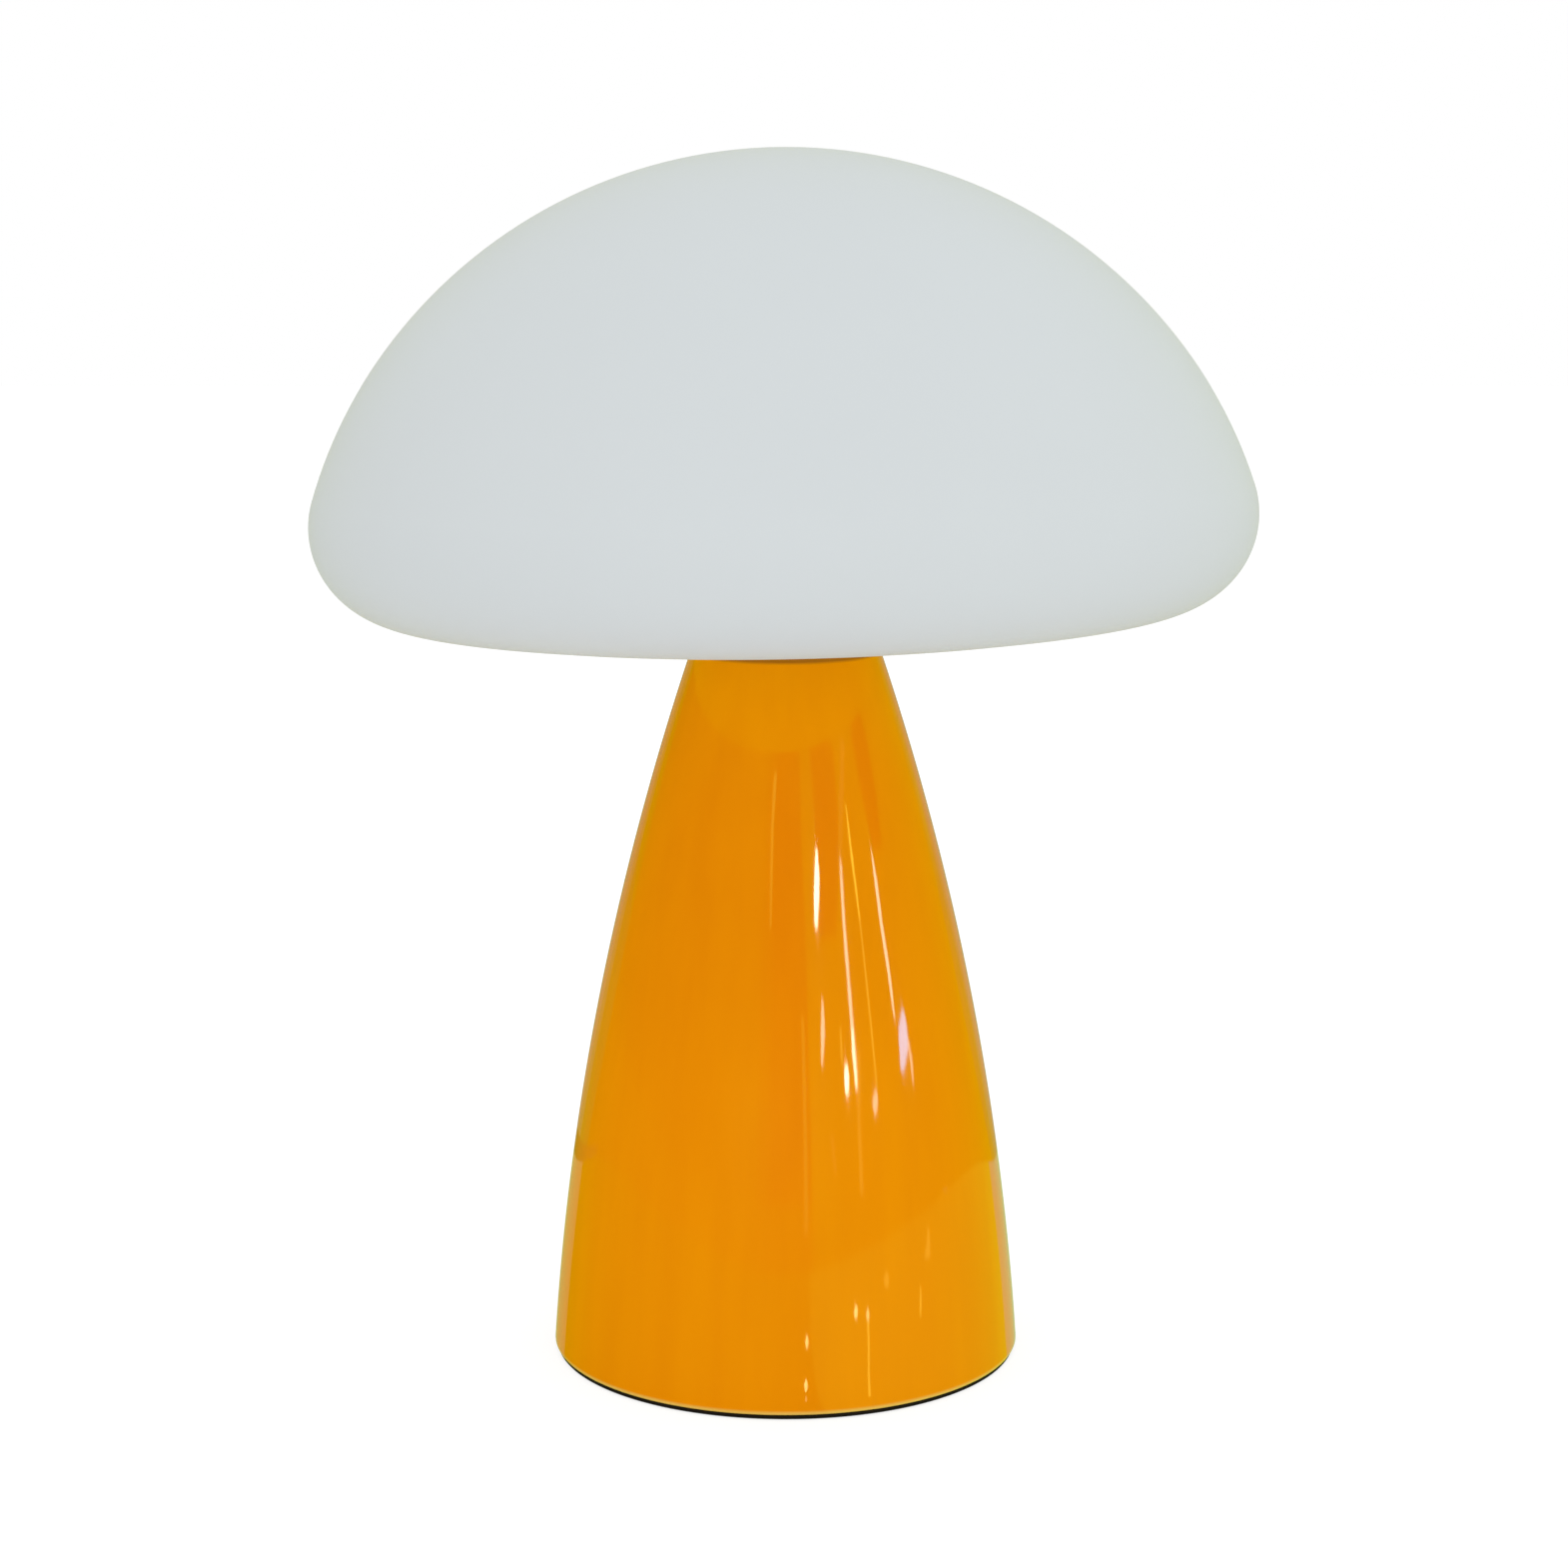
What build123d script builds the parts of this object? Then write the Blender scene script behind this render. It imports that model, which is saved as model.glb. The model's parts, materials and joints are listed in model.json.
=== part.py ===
from build123d import *
from math import acos, asin, atan2, cos, degrees, hypot, radians, sin, sqrt, tan
import os

os.makedirs("parts", exist_ok=True)

# Bedside lamp: a glazed bullet-shaped body that carries a closed opal dome shade.
# Millimetres, +Z up, origin at the middle of the foot on the table top.
# The front faces -Y and the cord entry is at the back, +Y.

# Clearances that several fits share
thread_clearance = 0.05
slip_clearance = 0.2
rest_gap = 0.1

# Foot pad
pad_thickness = 1.4
pad_radius = 64.5
pad_hole_margin = 1.5

# Glazed body
body_height = 203.0
body_foot_radius = 66.2
body_top_radius = 24.9
body_bulge_radius = 795.0
body_wall = 5.5
body_foot_round = 0.9
body_lip_round = 1.2
rebate_width = 2.0

# Pressed base plate under the body
plate_thickness = 2.0
plate_rim_clearance = 0.6
dish_radius = 20.0
dish_rise = 8.6
dish_slope_width = 7.0

# Threaded tube M10 x 1 with its nuts and washers
tube_radius = 4.95
tube_bore_radius = 3.8
tube_hole_radius = 5.25
tube_tail = 1.0
tube_slot_width = 5.6
tube_slot_low = 28.0
tube_slot_length = 13.0
nut_across_flats = 14.0
base_nut_thickness = 4.0
base_washer_radius = 15.0
base_washer_thickness = 1.5
lock_washer_radius = 8.5
lock_washer_thickness = 1.0
carrier_nut_thickness = 3.5
carrier_washer_radius = 10.0
carrier_washer_thickness = 1.2

# Rubber bush for the cord, in the back wall
cord_entry_height = 18.0
bush_bore_radius = 3.3
bush_neck_radius = 5.3
bush_flange_radius = 7.4
bush_flange_thickness = 1.8
bush_inner_radius = 6.6
bush_seat_depth = 1.0
bush_edge_round = 0.8

# Two-pole terminal block on the base plate
block_width = 20.0
block_depth = 17.0
block_height = 12.0
block_distance = 44.5
block_corner_round = 1.0
pole_offset = 5.8
pole_height = 6.1
insert_radius = 2.4
insert_bore_radius = 1.5
insert_length = 14.0
clamp_screw_radius = 1.4
clamp_screw_length = 5.0
clamp_screw_offset = 4.2
block_screw_radius = 1.45
block_screw_head_radius = 2.75
block_screw_head_thickness = 2.0
block_screw_sink = 6.0

# Shade carrier: a pressed cup in the neck, its flange on the body and its collar in the shade
neck_gasket_thickness = 0.8
carrier_sheet = 1.0
carrier_edge_margin = 0.5
carrier_cup_depth = 30.0
carrier_cup_clearance = 0.7
collar_height = 5.0
collar_clearance = 0.8
collar_round = 0.4
shade_gasket_thickness = 0.8

# Opal shade: four tangent arcs from the crown down to the flat seat
shade_wall = 3.0
shade_hole_radius = 22.5
shade_hole_round = 0.8
crown_radius = 136.65
crown_sweep = 52.0
shoulder_radius = 128.8
shoulder_sweep = 20.1
edge_radius = 25.7
under_radius = 328.0
under_sweep = 9.65

# E14 lampholder
holder_radius = 14.2
holder_neck_radius = 8.0
holder_neck_height = 6.0
holder_socket_depth = 9.0
holder_shoulder_height = 12.0
holder_spigot_low = 15.0
holder_spigot_radius = 12.6
holder_spigot_top = 26.0
holder_wall = 2.0
holder_height = 50.5
holder_lip_thickness = 1.5
holder_lip_radius = 8.4
holder_edge_round = 1.2
core_radius = 10.4
core_drop = 3.0
core_flange = 1.5
core_rise = 2.5
core_ring_height = 3.0
core_ring_radius = 7.9
contact_slot_width = 4.6
contact_width = 4.0
contact_sheet = 0.5
terminal_offset = 6.5
terminal_size = 5.0
terminal_height = 6.0
terminal_screw_height = 2.1
terminal_screw_radius = 1.2
terminal_screw_head_radius = 2.0
terminal_screw_head_thickness = 1.0
rivet_radius = 0.9
rivet_head_radius = 1.6
rivet_head_thickness = 0.6
rivet_grip = 1.5
tongue_foot = 3.6
tongue_knee = 1.6
grub_screw_radius = 1.4
grub_screw_height = 3.4
sleeve_inner_radius = 7.2
sleeve_wall = 0.4
sleeve_flange_radius = 9.6
tube_bush_wall = 0.9
tube_bush_length = 5.0
tube_bush_flange = 0.8

# Internal leads, one core each
lead_radius = 1.0
lead_spacing = 1.3
lead_grip = 6.0
lead_exit_run = 4.0
lead_stand_off = 8.0
lead_climb = 10.0
lead_drop = 14.0
lead_spread_start = 0.7
lead_spread_end = 2.3
lead_entry = 3.6
lead_bends = [10.0, 30.0, 10.0, 3.0, 3.0]

# E14 candle bulb
bulb_rest_height = 5.2
bulb_tip_radius = 2.4
bulb_tip_thickness = 1.2
bulb_tip_round = 0.5
insulator_height = 3.6
cap_radius = 6.8
cap_wall = 0.35
cap_length = 14.5
housing_spigot_length = 9.0
housing_neck_radius = 8.0
housing_length = 28.6
housing_radius = 14.6
housing_wall = 1.5
housing_bore_radius = 5.0
housing_foot_slope = 0.35
housing_mouth_slope = 0.1
board_thickness = 1.2
board_ledge_depth = 3.0
led_count = 8
led_size = 2.8
led_thickness = 0.7
led_ring_radius = 8.5
driver_width = 8.0
driver_length = 26.0
globe_radius = 17.5
globe_wall = 1.2
globe_belly_height = 14.0
globe_belly_radius = 35.2
globe_taper_radius = 44.9
globe_tip_offset = 2.5

# Heights that follow from the stack
body_low = pad_thickness
body_top = body_low + body_height
plate_low = body_low
plate_top = plate_low + plate_thickness
dish_top = plate_top + dish_rise
dish_low = dish_top - plate_thickness
base_washer_low = dish_low - base_washer_thickness
lock_washer_low = base_washer_low - lock_washer_thickness
base_nut_low = lock_washer_low - base_nut_thickness
tube_low = base_nut_low - tube_tail
flange_low = body_top + neck_gasket_thickness
flange_top = flange_low + carrier_sheet
shade_seat = flange_top + shade_gasket_thickness
collar_top = flange_top + collar_height
cup_low = flange_low - carrier_cup_depth
cup_floor = cup_low + carrier_sheet
carrier_nut_low = cup_floor + carrier_washer_thickness
holder_low = carrier_nut_low + carrier_nut_thickness
tube_top = holder_low + holder_socket_depth
rim_top = holder_low + holder_spigot_top
core_low = rim_top - core_drop
core_flange_top = rim_top + core_flange
core_top = core_flange_top + core_rise
ring_top = core_top + core_ring_height
holder_top = holder_low + holder_height
tip_low = core_top + bulb_rest_height
insulator_low = tip_low + bulb_tip_thickness
cap_low = insulator_low + insulator_height
cap_top = cap_low + cap_length
housing_top = cap_top + housing_length
globe_belly = housing_top + globe_belly_height
nut_bore_radius = tube_radius + thread_clearance


# The body's outline is one arc about a far centre, found from its two ends
def arc_centre():
    chord_r = body_top_radius - body_foot_radius
    half = hypot(chord_r, body_height) / 2
    depth = sqrt(body_bulge_radius**2 - half**2)
    middle_r = (body_foot_radius + body_top_radius) / 2
    middle_z = (body_low + body_top) / 2
    out_r = body_height / (2 * half)
    out_z = -chord_r / (2 * half)
    return middle_r - depth * out_r, middle_z - depth * out_z


bulge_r, bulge_z = arc_centre()


def body_point(height, inset=0.0):
    reach = body_bulge_radius - inset
    return bulge_r + sqrt(reach**2 - (height - bulge_z) ** 2), height


def body_arc(low, high, inset=0.0):
    middle = (low + high) / 2
    ThreePointArc(body_point(low, inset), body_point(middle, inset), body_point(high, inset))


rebate_radius = body_point(plate_top, body_wall)[0] + rebate_width
neck_bore_radius = body_point(body_top, body_wall)[0]

# Foot pad, a ring of black foam glued under the body and the plate
dish_outer_radius = dish_radius + dish_slope_width
with BuildPart() as foot_pad:
    with BuildSketch():
        Circle(pad_radius)
        Circle(dish_outer_radius + pad_hole_margin, mode=Mode.SUBTRACT)
    extrude(amount=pad_thickness)
foot_pad.part.label = "foot_pad"
export_step(foot_pad.part, "parts/foot_pad.step")

# Body, a thin cast shell with a rebate for the plate and a hole for the cord bush
rear = Plane(origin=(0, 0, cord_entry_height), x_dir=(1, 0, 0), z_dir=(0, 1, 0))
bush_seat = body_point(cord_entry_height)[0] - bush_seat_depth
with BuildPart() as ceramic_body:
    with BuildSketch(Plane.XZ) as body_profile:
        with BuildLine():
            body_arc(body_low, body_top)
            Line(body_point(body_top), body_point(body_top, body_wall))
            body_arc(plate_top, body_top, body_wall)
            Polyline(
                body_point(plate_top, body_wall),
                (rebate_radius, plate_top),
                (rebate_radius, body_low),
                body_point(body_low),
            )
        make_face()
        foot_corner = body_profile.vertices().group_by(Axis.Y)[0].sort_by(Axis.X)[-1]
        fillet(foot_corner, radius=body_foot_round)
        lip_corners = body_profile.vertices().group_by(Axis.Y)[-1]
        fillet(lip_corners, radius=body_lip_round)
    revolve(axis=Axis.Z)
    with BuildSketch(rear):
        Circle(bush_neck_radius + slip_clearance)
    extrude(amount=body_foot_radius + body_wall, mode=Mode.SUBTRACT)
    with BuildSketch(rear.offset(bush_seat)):
        Circle(bush_flange_radius + slip_clearance)
    extrude(amount=body_wall, mode=Mode.SUBTRACT)
ceramic_body.part.label = "ceramic_body"
export_step(ceramic_body.part, "parts/ceramic_body.step")

# Base plate, dished in the middle so that the nut stays clear of the table
plate_radius = rebate_radius - plate_rim_clearance
dish_shift = plate_thickness * tan(atan2(dish_rise, dish_slope_width) / 2)
with BuildPart() as base_plate:
    with BuildSketch(Plane.XZ):
        with BuildLine():
            Polyline(
                (tube_hole_radius, dish_low),
                (tube_hole_radius, dish_top),
                (dish_radius, dish_top),
                (dish_outer_radius, plate_top),
                (plate_radius, plate_top),
                (plate_radius, plate_low),
                (dish_outer_radius - dish_shift, plate_low),
                (dish_radius - dish_shift, dish_low),
                close=True,
            )
        make_face()
    revolve(axis=Axis.Z)
    with BuildSketch(Plane.XY.offset(plate_low)):
        with Locations((0, block_distance)):
            Circle(block_screw_radius + thread_clearance)
    extrude(amount=plate_thickness, mode=Mode.SUBTRACT)
base_plate.part.label = "base_plate"
export_step(base_plate.part, "parts/base_plate.step")

# Washers and nuts that clamp the plate and the carrier on the tube
with BuildPart() as base_washer:
    with BuildSketch(Plane.XY.offset(base_washer_low)):
        Circle(base_washer_radius)
        Circle(tube_hole_radius, mode=Mode.SUBTRACT)
    extrude(amount=base_washer_thickness)
base_washer.part.label = "base_washer"
export_step(base_washer.part, "parts/base_washer.step")

with BuildPart() as base_lock_washer:
    with BuildSketch(Plane.XY.offset(lock_washer_low)):
        Circle(lock_washer_radius)
        Circle(tube_hole_radius, mode=Mode.SUBTRACT)
    extrude(amount=lock_washer_thickness)
base_lock_washer.part.label = "base_lock_washer"
export_step(base_lock_washer.part, "parts/base_lock_washer.step")

nut_corner_radius = nut_across_flats / 2 / cos(radians(30))
with BuildPart() as base_nut:
    with BuildSketch(Plane.XY.offset(base_nut_low)):
        RegularPolygon(nut_corner_radius, 6)
        Circle(nut_bore_radius, mode=Mode.SUBTRACT)
    extrude(amount=base_nut_thickness)
base_nut.part.label = "base_nut"
export_step(base_nut.part, "parts/base_nut.step")

with BuildPart() as carrier_washer:
    with BuildSketch(Plane.XY.offset(cup_floor)):
        Circle(carrier_washer_radius)
        Circle(tube_hole_radius, mode=Mode.SUBTRACT)
    extrude(amount=carrier_washer_thickness)
carrier_washer.part.label = "carrier_washer"
export_step(carrier_washer.part, "parts/carrier_washer.step")

with BuildPart() as carrier_nut:
    with BuildSketch(Plane.XY.offset(carrier_nut_low)):
        RegularPolygon(nut_corner_radius, 6)
        Circle(nut_bore_radius, mode=Mode.SUBTRACT)
    extrude(amount=carrier_nut_thickness)
carrier_nut.part.label = "carrier_nut"
export_step(carrier_nut.part, "parts/carrier_nut.step")

# Threaded tube through the body, with a slot at the back where the leads go in
with BuildPart() as threaded_tube:
    with BuildSketch(Plane.XY.offset(tube_low)):
        Circle(tube_radius)
        Circle(tube_bore_radius, mode=Mode.SUBTRACT)
    extrude(amount=tube_top - tube_low)
    with BuildSketch(Plane(origin=(0, 0, 0), x_dir=(1, 0, 0), z_dir=(0, 1, 0))):
        with Locations((0, -tube_slot_low - tube_slot_length / 2)):
            SlotOverall(tube_slot_length, tube_slot_width, rotation=90)
    extrude(amount=tube_radius + thread_clearance, mode=Mode.SUBTRACT)
threaded_tube.part.label = "threaded_tube"
export_step(threaded_tube.part, "parts/threaded_tube.step")

# Insulating bush in the tube's upper end
tube_bush_radius = tube_bore_radius - rest_gap
with BuildPart() as tube_end_bush:
    with BuildSketch(Plane.XY.offset(tube_top - tube_bush_length)):
        Circle(tube_bush_radius)
        Circle(tube_bush_radius - tube_bush_wall, mode=Mode.SUBTRACT)
    extrude(amount=tube_bush_length + tube_bush_flange)
    with BuildSketch(Plane.XY.offset(tube_top)):
        Circle(tube_radius)
        Circle(tube_bush_radius - tube_bush_wall, mode=Mode.SUBTRACT)
    extrude(amount=tube_bush_flange)
tube_end_bush.part.label = "tube_end_bush"
export_step(tube_end_bush.part, "parts/tube_end_bush.step")

# Cord bush, a rubber grommet gripping the wall between its two flanges
inner_wall_radius = body_point(cord_entry_height + bush_inner_radius, body_wall)[0]
bush_inner_face = sqrt(inner_wall_radius**2 - bush_inner_radius**2) - rest_gap
bush_outer_face = bush_seat + bush_flange_thickness
bush_back_face = bush_inner_face - bush_flange_thickness
with BuildPart() as cord_bush:
    with BuildSketch(rear.offset(bush_back_face)):
        Circle(bush_neck_radius)
    extrude(amount=bush_outer_face - bush_back_face)
    with BuildSketch(rear.offset(bush_seat)):
        Circle(bush_flange_radius)
    extrude(amount=bush_flange_thickness)
    with BuildSketch(rear.offset(bush_back_face)):
        Circle(bush_inner_radius)
    extrude(amount=bush_flange_thickness)
    outer_edge = cord_bush.edges().filter_by(GeomType.CIRCLE).sort_by(Axis.Y)[-1]
    fillet(outer_edge, radius=bush_edge_round)
    with BuildSketch(rear.offset(bush_back_face)):
        Circle(bush_bore_radius)
    extrude(amount=bush_outer_face - bush_back_face, mode=Mode.SUBTRACT)
cord_bush.part.label = "cord_bush"
export_step(cord_bush.part, "parts/cord_bush.step")

# Terminal block, its two brass inserts lying front to back
pole_z = plate_top + pole_height
block_top = plate_top + block_height
block_front = block_distance - block_depth / 2
insert_front = block_distance - insert_length / 2
across = Plane(origin=(0, 0, pole_z), x_dir=(1, 0, 0), z_dir=(0, 1, 0))
poles = [(-pole_offset, 0), (pole_offset, 0)]
clamp_places = [
    (x, block_distance + y)
    for x in (-pole_offset, pole_offset)
    for y in (-clamp_screw_offset, clamp_screw_offset)
]
with BuildPart() as terminal_block:
    with BuildSketch(Plane.XY.offset(plate_top)):
        with Locations((0, block_distance)):
            RectangleRounded(block_width, block_depth, block_corner_round)
            Circle(block_screw_radius + slip_clearance, mode=Mode.SUBTRACT)
    extrude(amount=block_height)
    with BuildSketch(Plane.XY.offset(block_top - block_screw_sink)):
        with Locations((0, block_distance)):
            Circle(block_screw_head_radius + slip_clearance)
    extrude(amount=block_screw_sink, mode=Mode.SUBTRACT)
    with BuildSketch(across.offset(block_front)):
        with Locations(*poles):
            Circle(insert_radius + thread_clearance)
    extrude(amount=block_depth, mode=Mode.SUBTRACT)
    with BuildSketch(Plane.XY.offset(pole_z)):
        with Locations(*clamp_places):
            Circle(clamp_screw_radius + slip_clearance)
    extrude(amount=block_height, mode=Mode.SUBTRACT)
terminal_block.part.label = "terminal_block"
export_step(terminal_block.part, "parts/terminal_block.step")

with BuildPart() as terminal_inserts:
    with BuildSketch(across.offset(insert_front)):
        with Locations(*poles):
            Circle(insert_radius)
            Circle(insert_bore_radius, mode=Mode.SUBTRACT)
    extrude(amount=insert_length)
    with BuildSketch(Plane.XY.offset(pole_z)):
        with Locations(*clamp_places):
            Circle(clamp_screw_radius + thread_clearance)
    extrude(amount=insert_radius + thread_clearance, mode=Mode.SUBTRACT)
terminal_inserts.part.label = "terminal_inserts"
export_step(terminal_inserts.part, "parts/terminal_inserts.step")

with BuildPart() as terminal_screws:
    with BuildSketch(Plane.XY.offset(pole_z + lead_radius + thread_clearance)):
        with Locations(*clamp_places):
            Circle(clamp_screw_radius)
    extrude(amount=clamp_screw_length)
terminal_screws.part.label = "terminal_screws"
export_step(terminal_screws.part, "parts/terminal_screws.step")

block_screw_seat = block_top - block_screw_sink
with BuildPart() as terminal_block_screw:
    with BuildSketch(Plane.XY.offset(plate_low + rest_gap)):
        with Locations((0, block_distance)):
            Circle(block_screw_radius)
    extrude(amount=block_screw_seat - plate_low - rest_gap)
    with BuildSketch(Plane.XY.offset(block_screw_seat)):
        with Locations((0, block_distance)):
            Circle(block_screw_head_radius)
    extrude(amount=block_screw_head_thickness)
terminal_block_screw.part.label = "terminal_block_screw"
export_step(terminal_block_screw.part, "parts/terminal_block_screw.step")

# Leads: out of the block, up through the slot and the tube, then apart to the two terminals
terminal_low = core_low - terminal_height
slot_middle = tube_slot_low + tube_slot_length / 2
lead_top = terminal_low + lead_entry
lead_spread_low = tube_top + tube_bush_flange + lead_spread_start
lead_spread_high = terminal_low - lead_spread_end
for side, name in ((-1, "lead_live"), (1, "lead_neutral")):
    with BuildPart() as lead:
        with BuildLine() as lead_route:
            FilletPolyline(
                (side * pole_offset, block_front + lead_grip, pole_z),
                (side * pole_offset, block_front - lead_exit_run, pole_z),
                (side * lead_spacing, tube_radius + lead_stand_off, slot_middle - lead_climb),
                (side * lead_spacing, 0, slot_middle + lead_drop - lead_climb),
                (side * lead_spacing, 0, lead_spread_low),
                (side * terminal_offset, 0, lead_spread_high),
                (side * terminal_offset, 0, lead_top),
                radius=lead_bends,
            )
        with BuildSketch(Plane(origin=lead_route.line @ 0, z_dir=lead_route.line % 0)):
            Circle(lead_radius)
        sweep()
    length = sum(edge.length for edge in lead_route.edges())
    section = lead.part.volume / length
    print(name, "length", round(length, 1), "section", round(section, 3))
    lead.part.label = name
    export_step(lead.part, f"parts/{name}.step")

# Gaskets above and below the carrier's flange
flange_radius = body_top_radius - carrier_edge_margin
collar_radius = shade_hole_radius - collar_clearance
with BuildPart() as neck_gasket:
    with BuildSketch(Plane.XY.offset(body_top)):
        Circle(flange_radius)
        Circle(collar_radius - carrier_sheet, mode=Mode.SUBTRACT)
    extrude(amount=neck_gasket_thickness)
neck_gasket.part.label = "neck_gasket"
export_step(neck_gasket.part, "parts/neck_gasket.step")

with BuildPart() as shade_gasket:
    with BuildSketch(Plane.XY.offset(flange_top)):
        Circle(flange_radius)
        Circle(collar_radius + slip_clearance, mode=Mode.SUBTRACT)
    extrude(amount=shade_gasket_thickness)
shade_gasket.part.label = "shade_gasket"
export_step(shade_gasket.part, "parts/shade_gasket.step")

# Shade carrier, pressed from one sheet: flange, collar, and a cup down into the neck
cup_outer_radius = neck_bore_radius - carrier_cup_clearance
cup_inner_radius = cup_outer_radius - carrier_sheet
with BuildPart() as shade_carrier:
    with BuildSketch(Plane.XZ) as carrier_profile:
        with BuildLine():
            Polyline(
                (flange_radius, flange_low),
                (flange_radius, flange_top),
                (collar_radius, flange_top),
                (collar_radius, collar_top),
                (cup_inner_radius, collar_top),
                (cup_inner_radius, cup_floor),
                (tube_hole_radius, cup_floor),
                (tube_hole_radius, cup_low),
                (cup_outer_radius, cup_low),
                (cup_outer_radius, collar_top - carrier_sheet),
                (collar_radius - carrier_sheet, collar_top - carrier_sheet),
                (collar_radius - carrier_sheet, flange_low),
                close=True,
            )
        make_face()
        fillet(carrier_profile.vertices().group_by(Axis.Y)[-1], radius=collar_round)
    revolve(axis=Axis.Z)
shade_carrier.part.label = "shade_carrier"
export_step(shade_carrier.part, "parts/shade_carrier.step")

# Shade: the chain starts level on the axis and turns down and under to the flat seat
edge_sweep = 180.0 - crown_sweep - shoulder_sweep - under_sweep
shoulder_start = radians(crown_sweep)
edge_start = radians(crown_sweep + shoulder_sweep)
under_start = radians(180.0 - under_sweep)
shoulder_r = (crown_radius - shoulder_radius) * sin(shoulder_start)
edge_r = shoulder_r + (shoulder_radius - edge_radius) * sin(edge_start)
under_r = edge_r + (edge_radius - under_radius) * sin(under_start)
under_z = shade_seat + under_radius
edge_z = under_z - (edge_radius - under_radius) * cos(under_start)
shoulder_z = edge_z - (shoulder_radius - edge_radius) * cos(edge_start)
crown_z = shoulder_z - (crown_radius - shoulder_radius) * cos(shoulder_start)
shade_chain = [
    ((0, crown_z), crown_radius, crown_sweep),
    ((shoulder_r, shoulder_z), shoulder_radius, shoulder_sweep),
    ((edge_r, edge_z), edge_radius, edge_sweep),
    ((under_r, under_z), under_radius, under_sweep),
]


def shade_arcs(inset):
    heading = 90.0
    for centre, radius, turn in shade_chain:
        CenterArc(centre, radius - inset, heading, -turn)
        heading -= turn


with BuildPart() as shade:
    with BuildSketch(Plane.XZ) as shade_profile:
        with BuildLine():
            shade_arcs(0)
            Polyline(
                (under_r, shade_seat),
                (shade_hole_radius, shade_seat),
                (shade_hole_radius, shade_seat + shade_wall),
                (under_r, shade_seat + shade_wall),
            )
            shade_arcs(shade_wall)
            Line((0, crown_z + crown_radius - shade_wall), (0, crown_z + crown_radius))
        make_face()
        hole_corners = shade_profile.vertices().filter_by(
            lambda v: abs(v.X - shade_hole_radius) < rest_gap
        )
        fillet(hole_corners, radius=shade_hole_round)
    revolve(axis=Axis.Z)
shade.part.label = "shade"
export_step(shade.part, "parts/shade.step")
shade_width = 2 * (edge_r + edge_radius)
print("shade width", round(shade_width, 2), "overall height", round(crown_z + crown_radius, 2))

# Lampholder base, screwed on the tube's end above the carrier nut
chamber_radius = holder_spigot_radius - holder_wall
socket_top = holder_low + holder_socket_depth
with BuildPart() as holder_base:
    with BuildSketch(Plane.XZ):
        with BuildLine():
            Polyline(
                (nut_bore_radius, holder_low),
                (holder_neck_radius, holder_low),
                (holder_neck_radius, holder_low + holder_neck_height),
                (holder_radius, holder_low + holder_shoulder_height),
                (holder_radius, holder_low + holder_spigot_low),
                (holder_spigot_radius, holder_low + holder_spigot_low),
                (holder_spigot_radius, rim_top),
                (chamber_radius, rim_top),
                (chamber_radius, socket_top + 2 * holder_wall),
                (chamber_radius - holder_wall, socket_top),
                (nut_bore_radius, socket_top),
                close=True,
            )
        make_face()
    revolve(axis=Axis.Z)
    with BuildSketch(Plane.YZ):
        with Locations((0, holder_low + grub_screw_height)):
            Circle(grub_screw_radius + thread_clearance)
    extrude(amount=holder_radius, mode=Mode.SUBTRACT)
holder_base.part.label = "holder_base"
export_step(holder_base.part, "parts/holder_base.step")

with BuildPart() as holder_grub_screw:
    with BuildSketch(Plane.YZ.offset(nut_bore_radius)):
        with Locations((0, holder_low + grub_screw_height)):
            Circle(grub_screw_radius)
    extrude(amount=holder_neck_radius - nut_bore_radius)
holder_grub_screw.part.label = "holder_grub_screw"
export_step(holder_grub_screw.part, "parts/holder_grub_screw.step")

# Core, the insulator that carries both contacts and the threaded sleeve
terminal_places = [(-terminal_offset, 0), (terminal_offset, 0)]
with BuildPart() as holder_core:
    with BuildSketch(Plane.XY.offset(core_low)):
        Circle(core_radius)
    extrude(amount=core_top - core_low)
    with BuildSketch(Plane.XY.offset(rim_top)):
        Circle(holder_spigot_radius)
    extrude(amount=core_flange)
    with BuildSketch(Plane.XY.offset(core_top)):
        Circle(core_radius)
        Circle(core_ring_radius, mode=Mode.SUBTRACT)
        Rectangle(2 * holder_radius, contact_slot_width, mode=Mode.SUBTRACT)
    extrude(amount=core_ring_height)
    with BuildSketch(Plane.XY.offset(core_low)):
        with Locations(*terminal_places):
            Circle(rivet_radius + thread_clearance)
    extrude(amount=core_top - core_low, mode=Mode.SUBTRACT)
holder_core.part.label = "holder_core"
export_step(holder_core.part, "parts/holder_core.step")

# Brass terminals under the core: a lead hole from below, a rivet from above, a screw outside
screw_z = terminal_low + terminal_screw_height
lead_hole_depth = lead_top - terminal_low + rest_gap
with BuildPart() as holder_terminals:
    with BuildSketch(Plane.XY.offset(terminal_low)):
        with Locations(*terminal_places):
            Rectangle(terminal_size, terminal_size)
    extrude(amount=terminal_height)
    with BuildSketch(Plane.XY.offset(terminal_low)):
        with Locations(*terminal_places):
            Circle(lead_radius + rest_gap)
    extrude(amount=lead_hole_depth, mode=Mode.SUBTRACT)
    with BuildSketch(Plane.XY.offset(core_low - rivet_grip)):
        with Locations(*terminal_places):
            Circle(rivet_radius + thread_clearance)
    extrude(amount=rivet_grip, mode=Mode.SUBTRACT)
    for side in (-1, 1):
        with BuildSketch(Plane.YZ.offset(side * terminal_offset)):
            with Locations((0, screw_z)):
                Circle(terminal_screw_radius + thread_clearance)
        extrude(amount=side * terminal_size, mode=Mode.SUBTRACT)
holder_terminals.part.label = "holder_terminals"
export_step(holder_terminals.part, "parts/holder_terminals.step")

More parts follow.
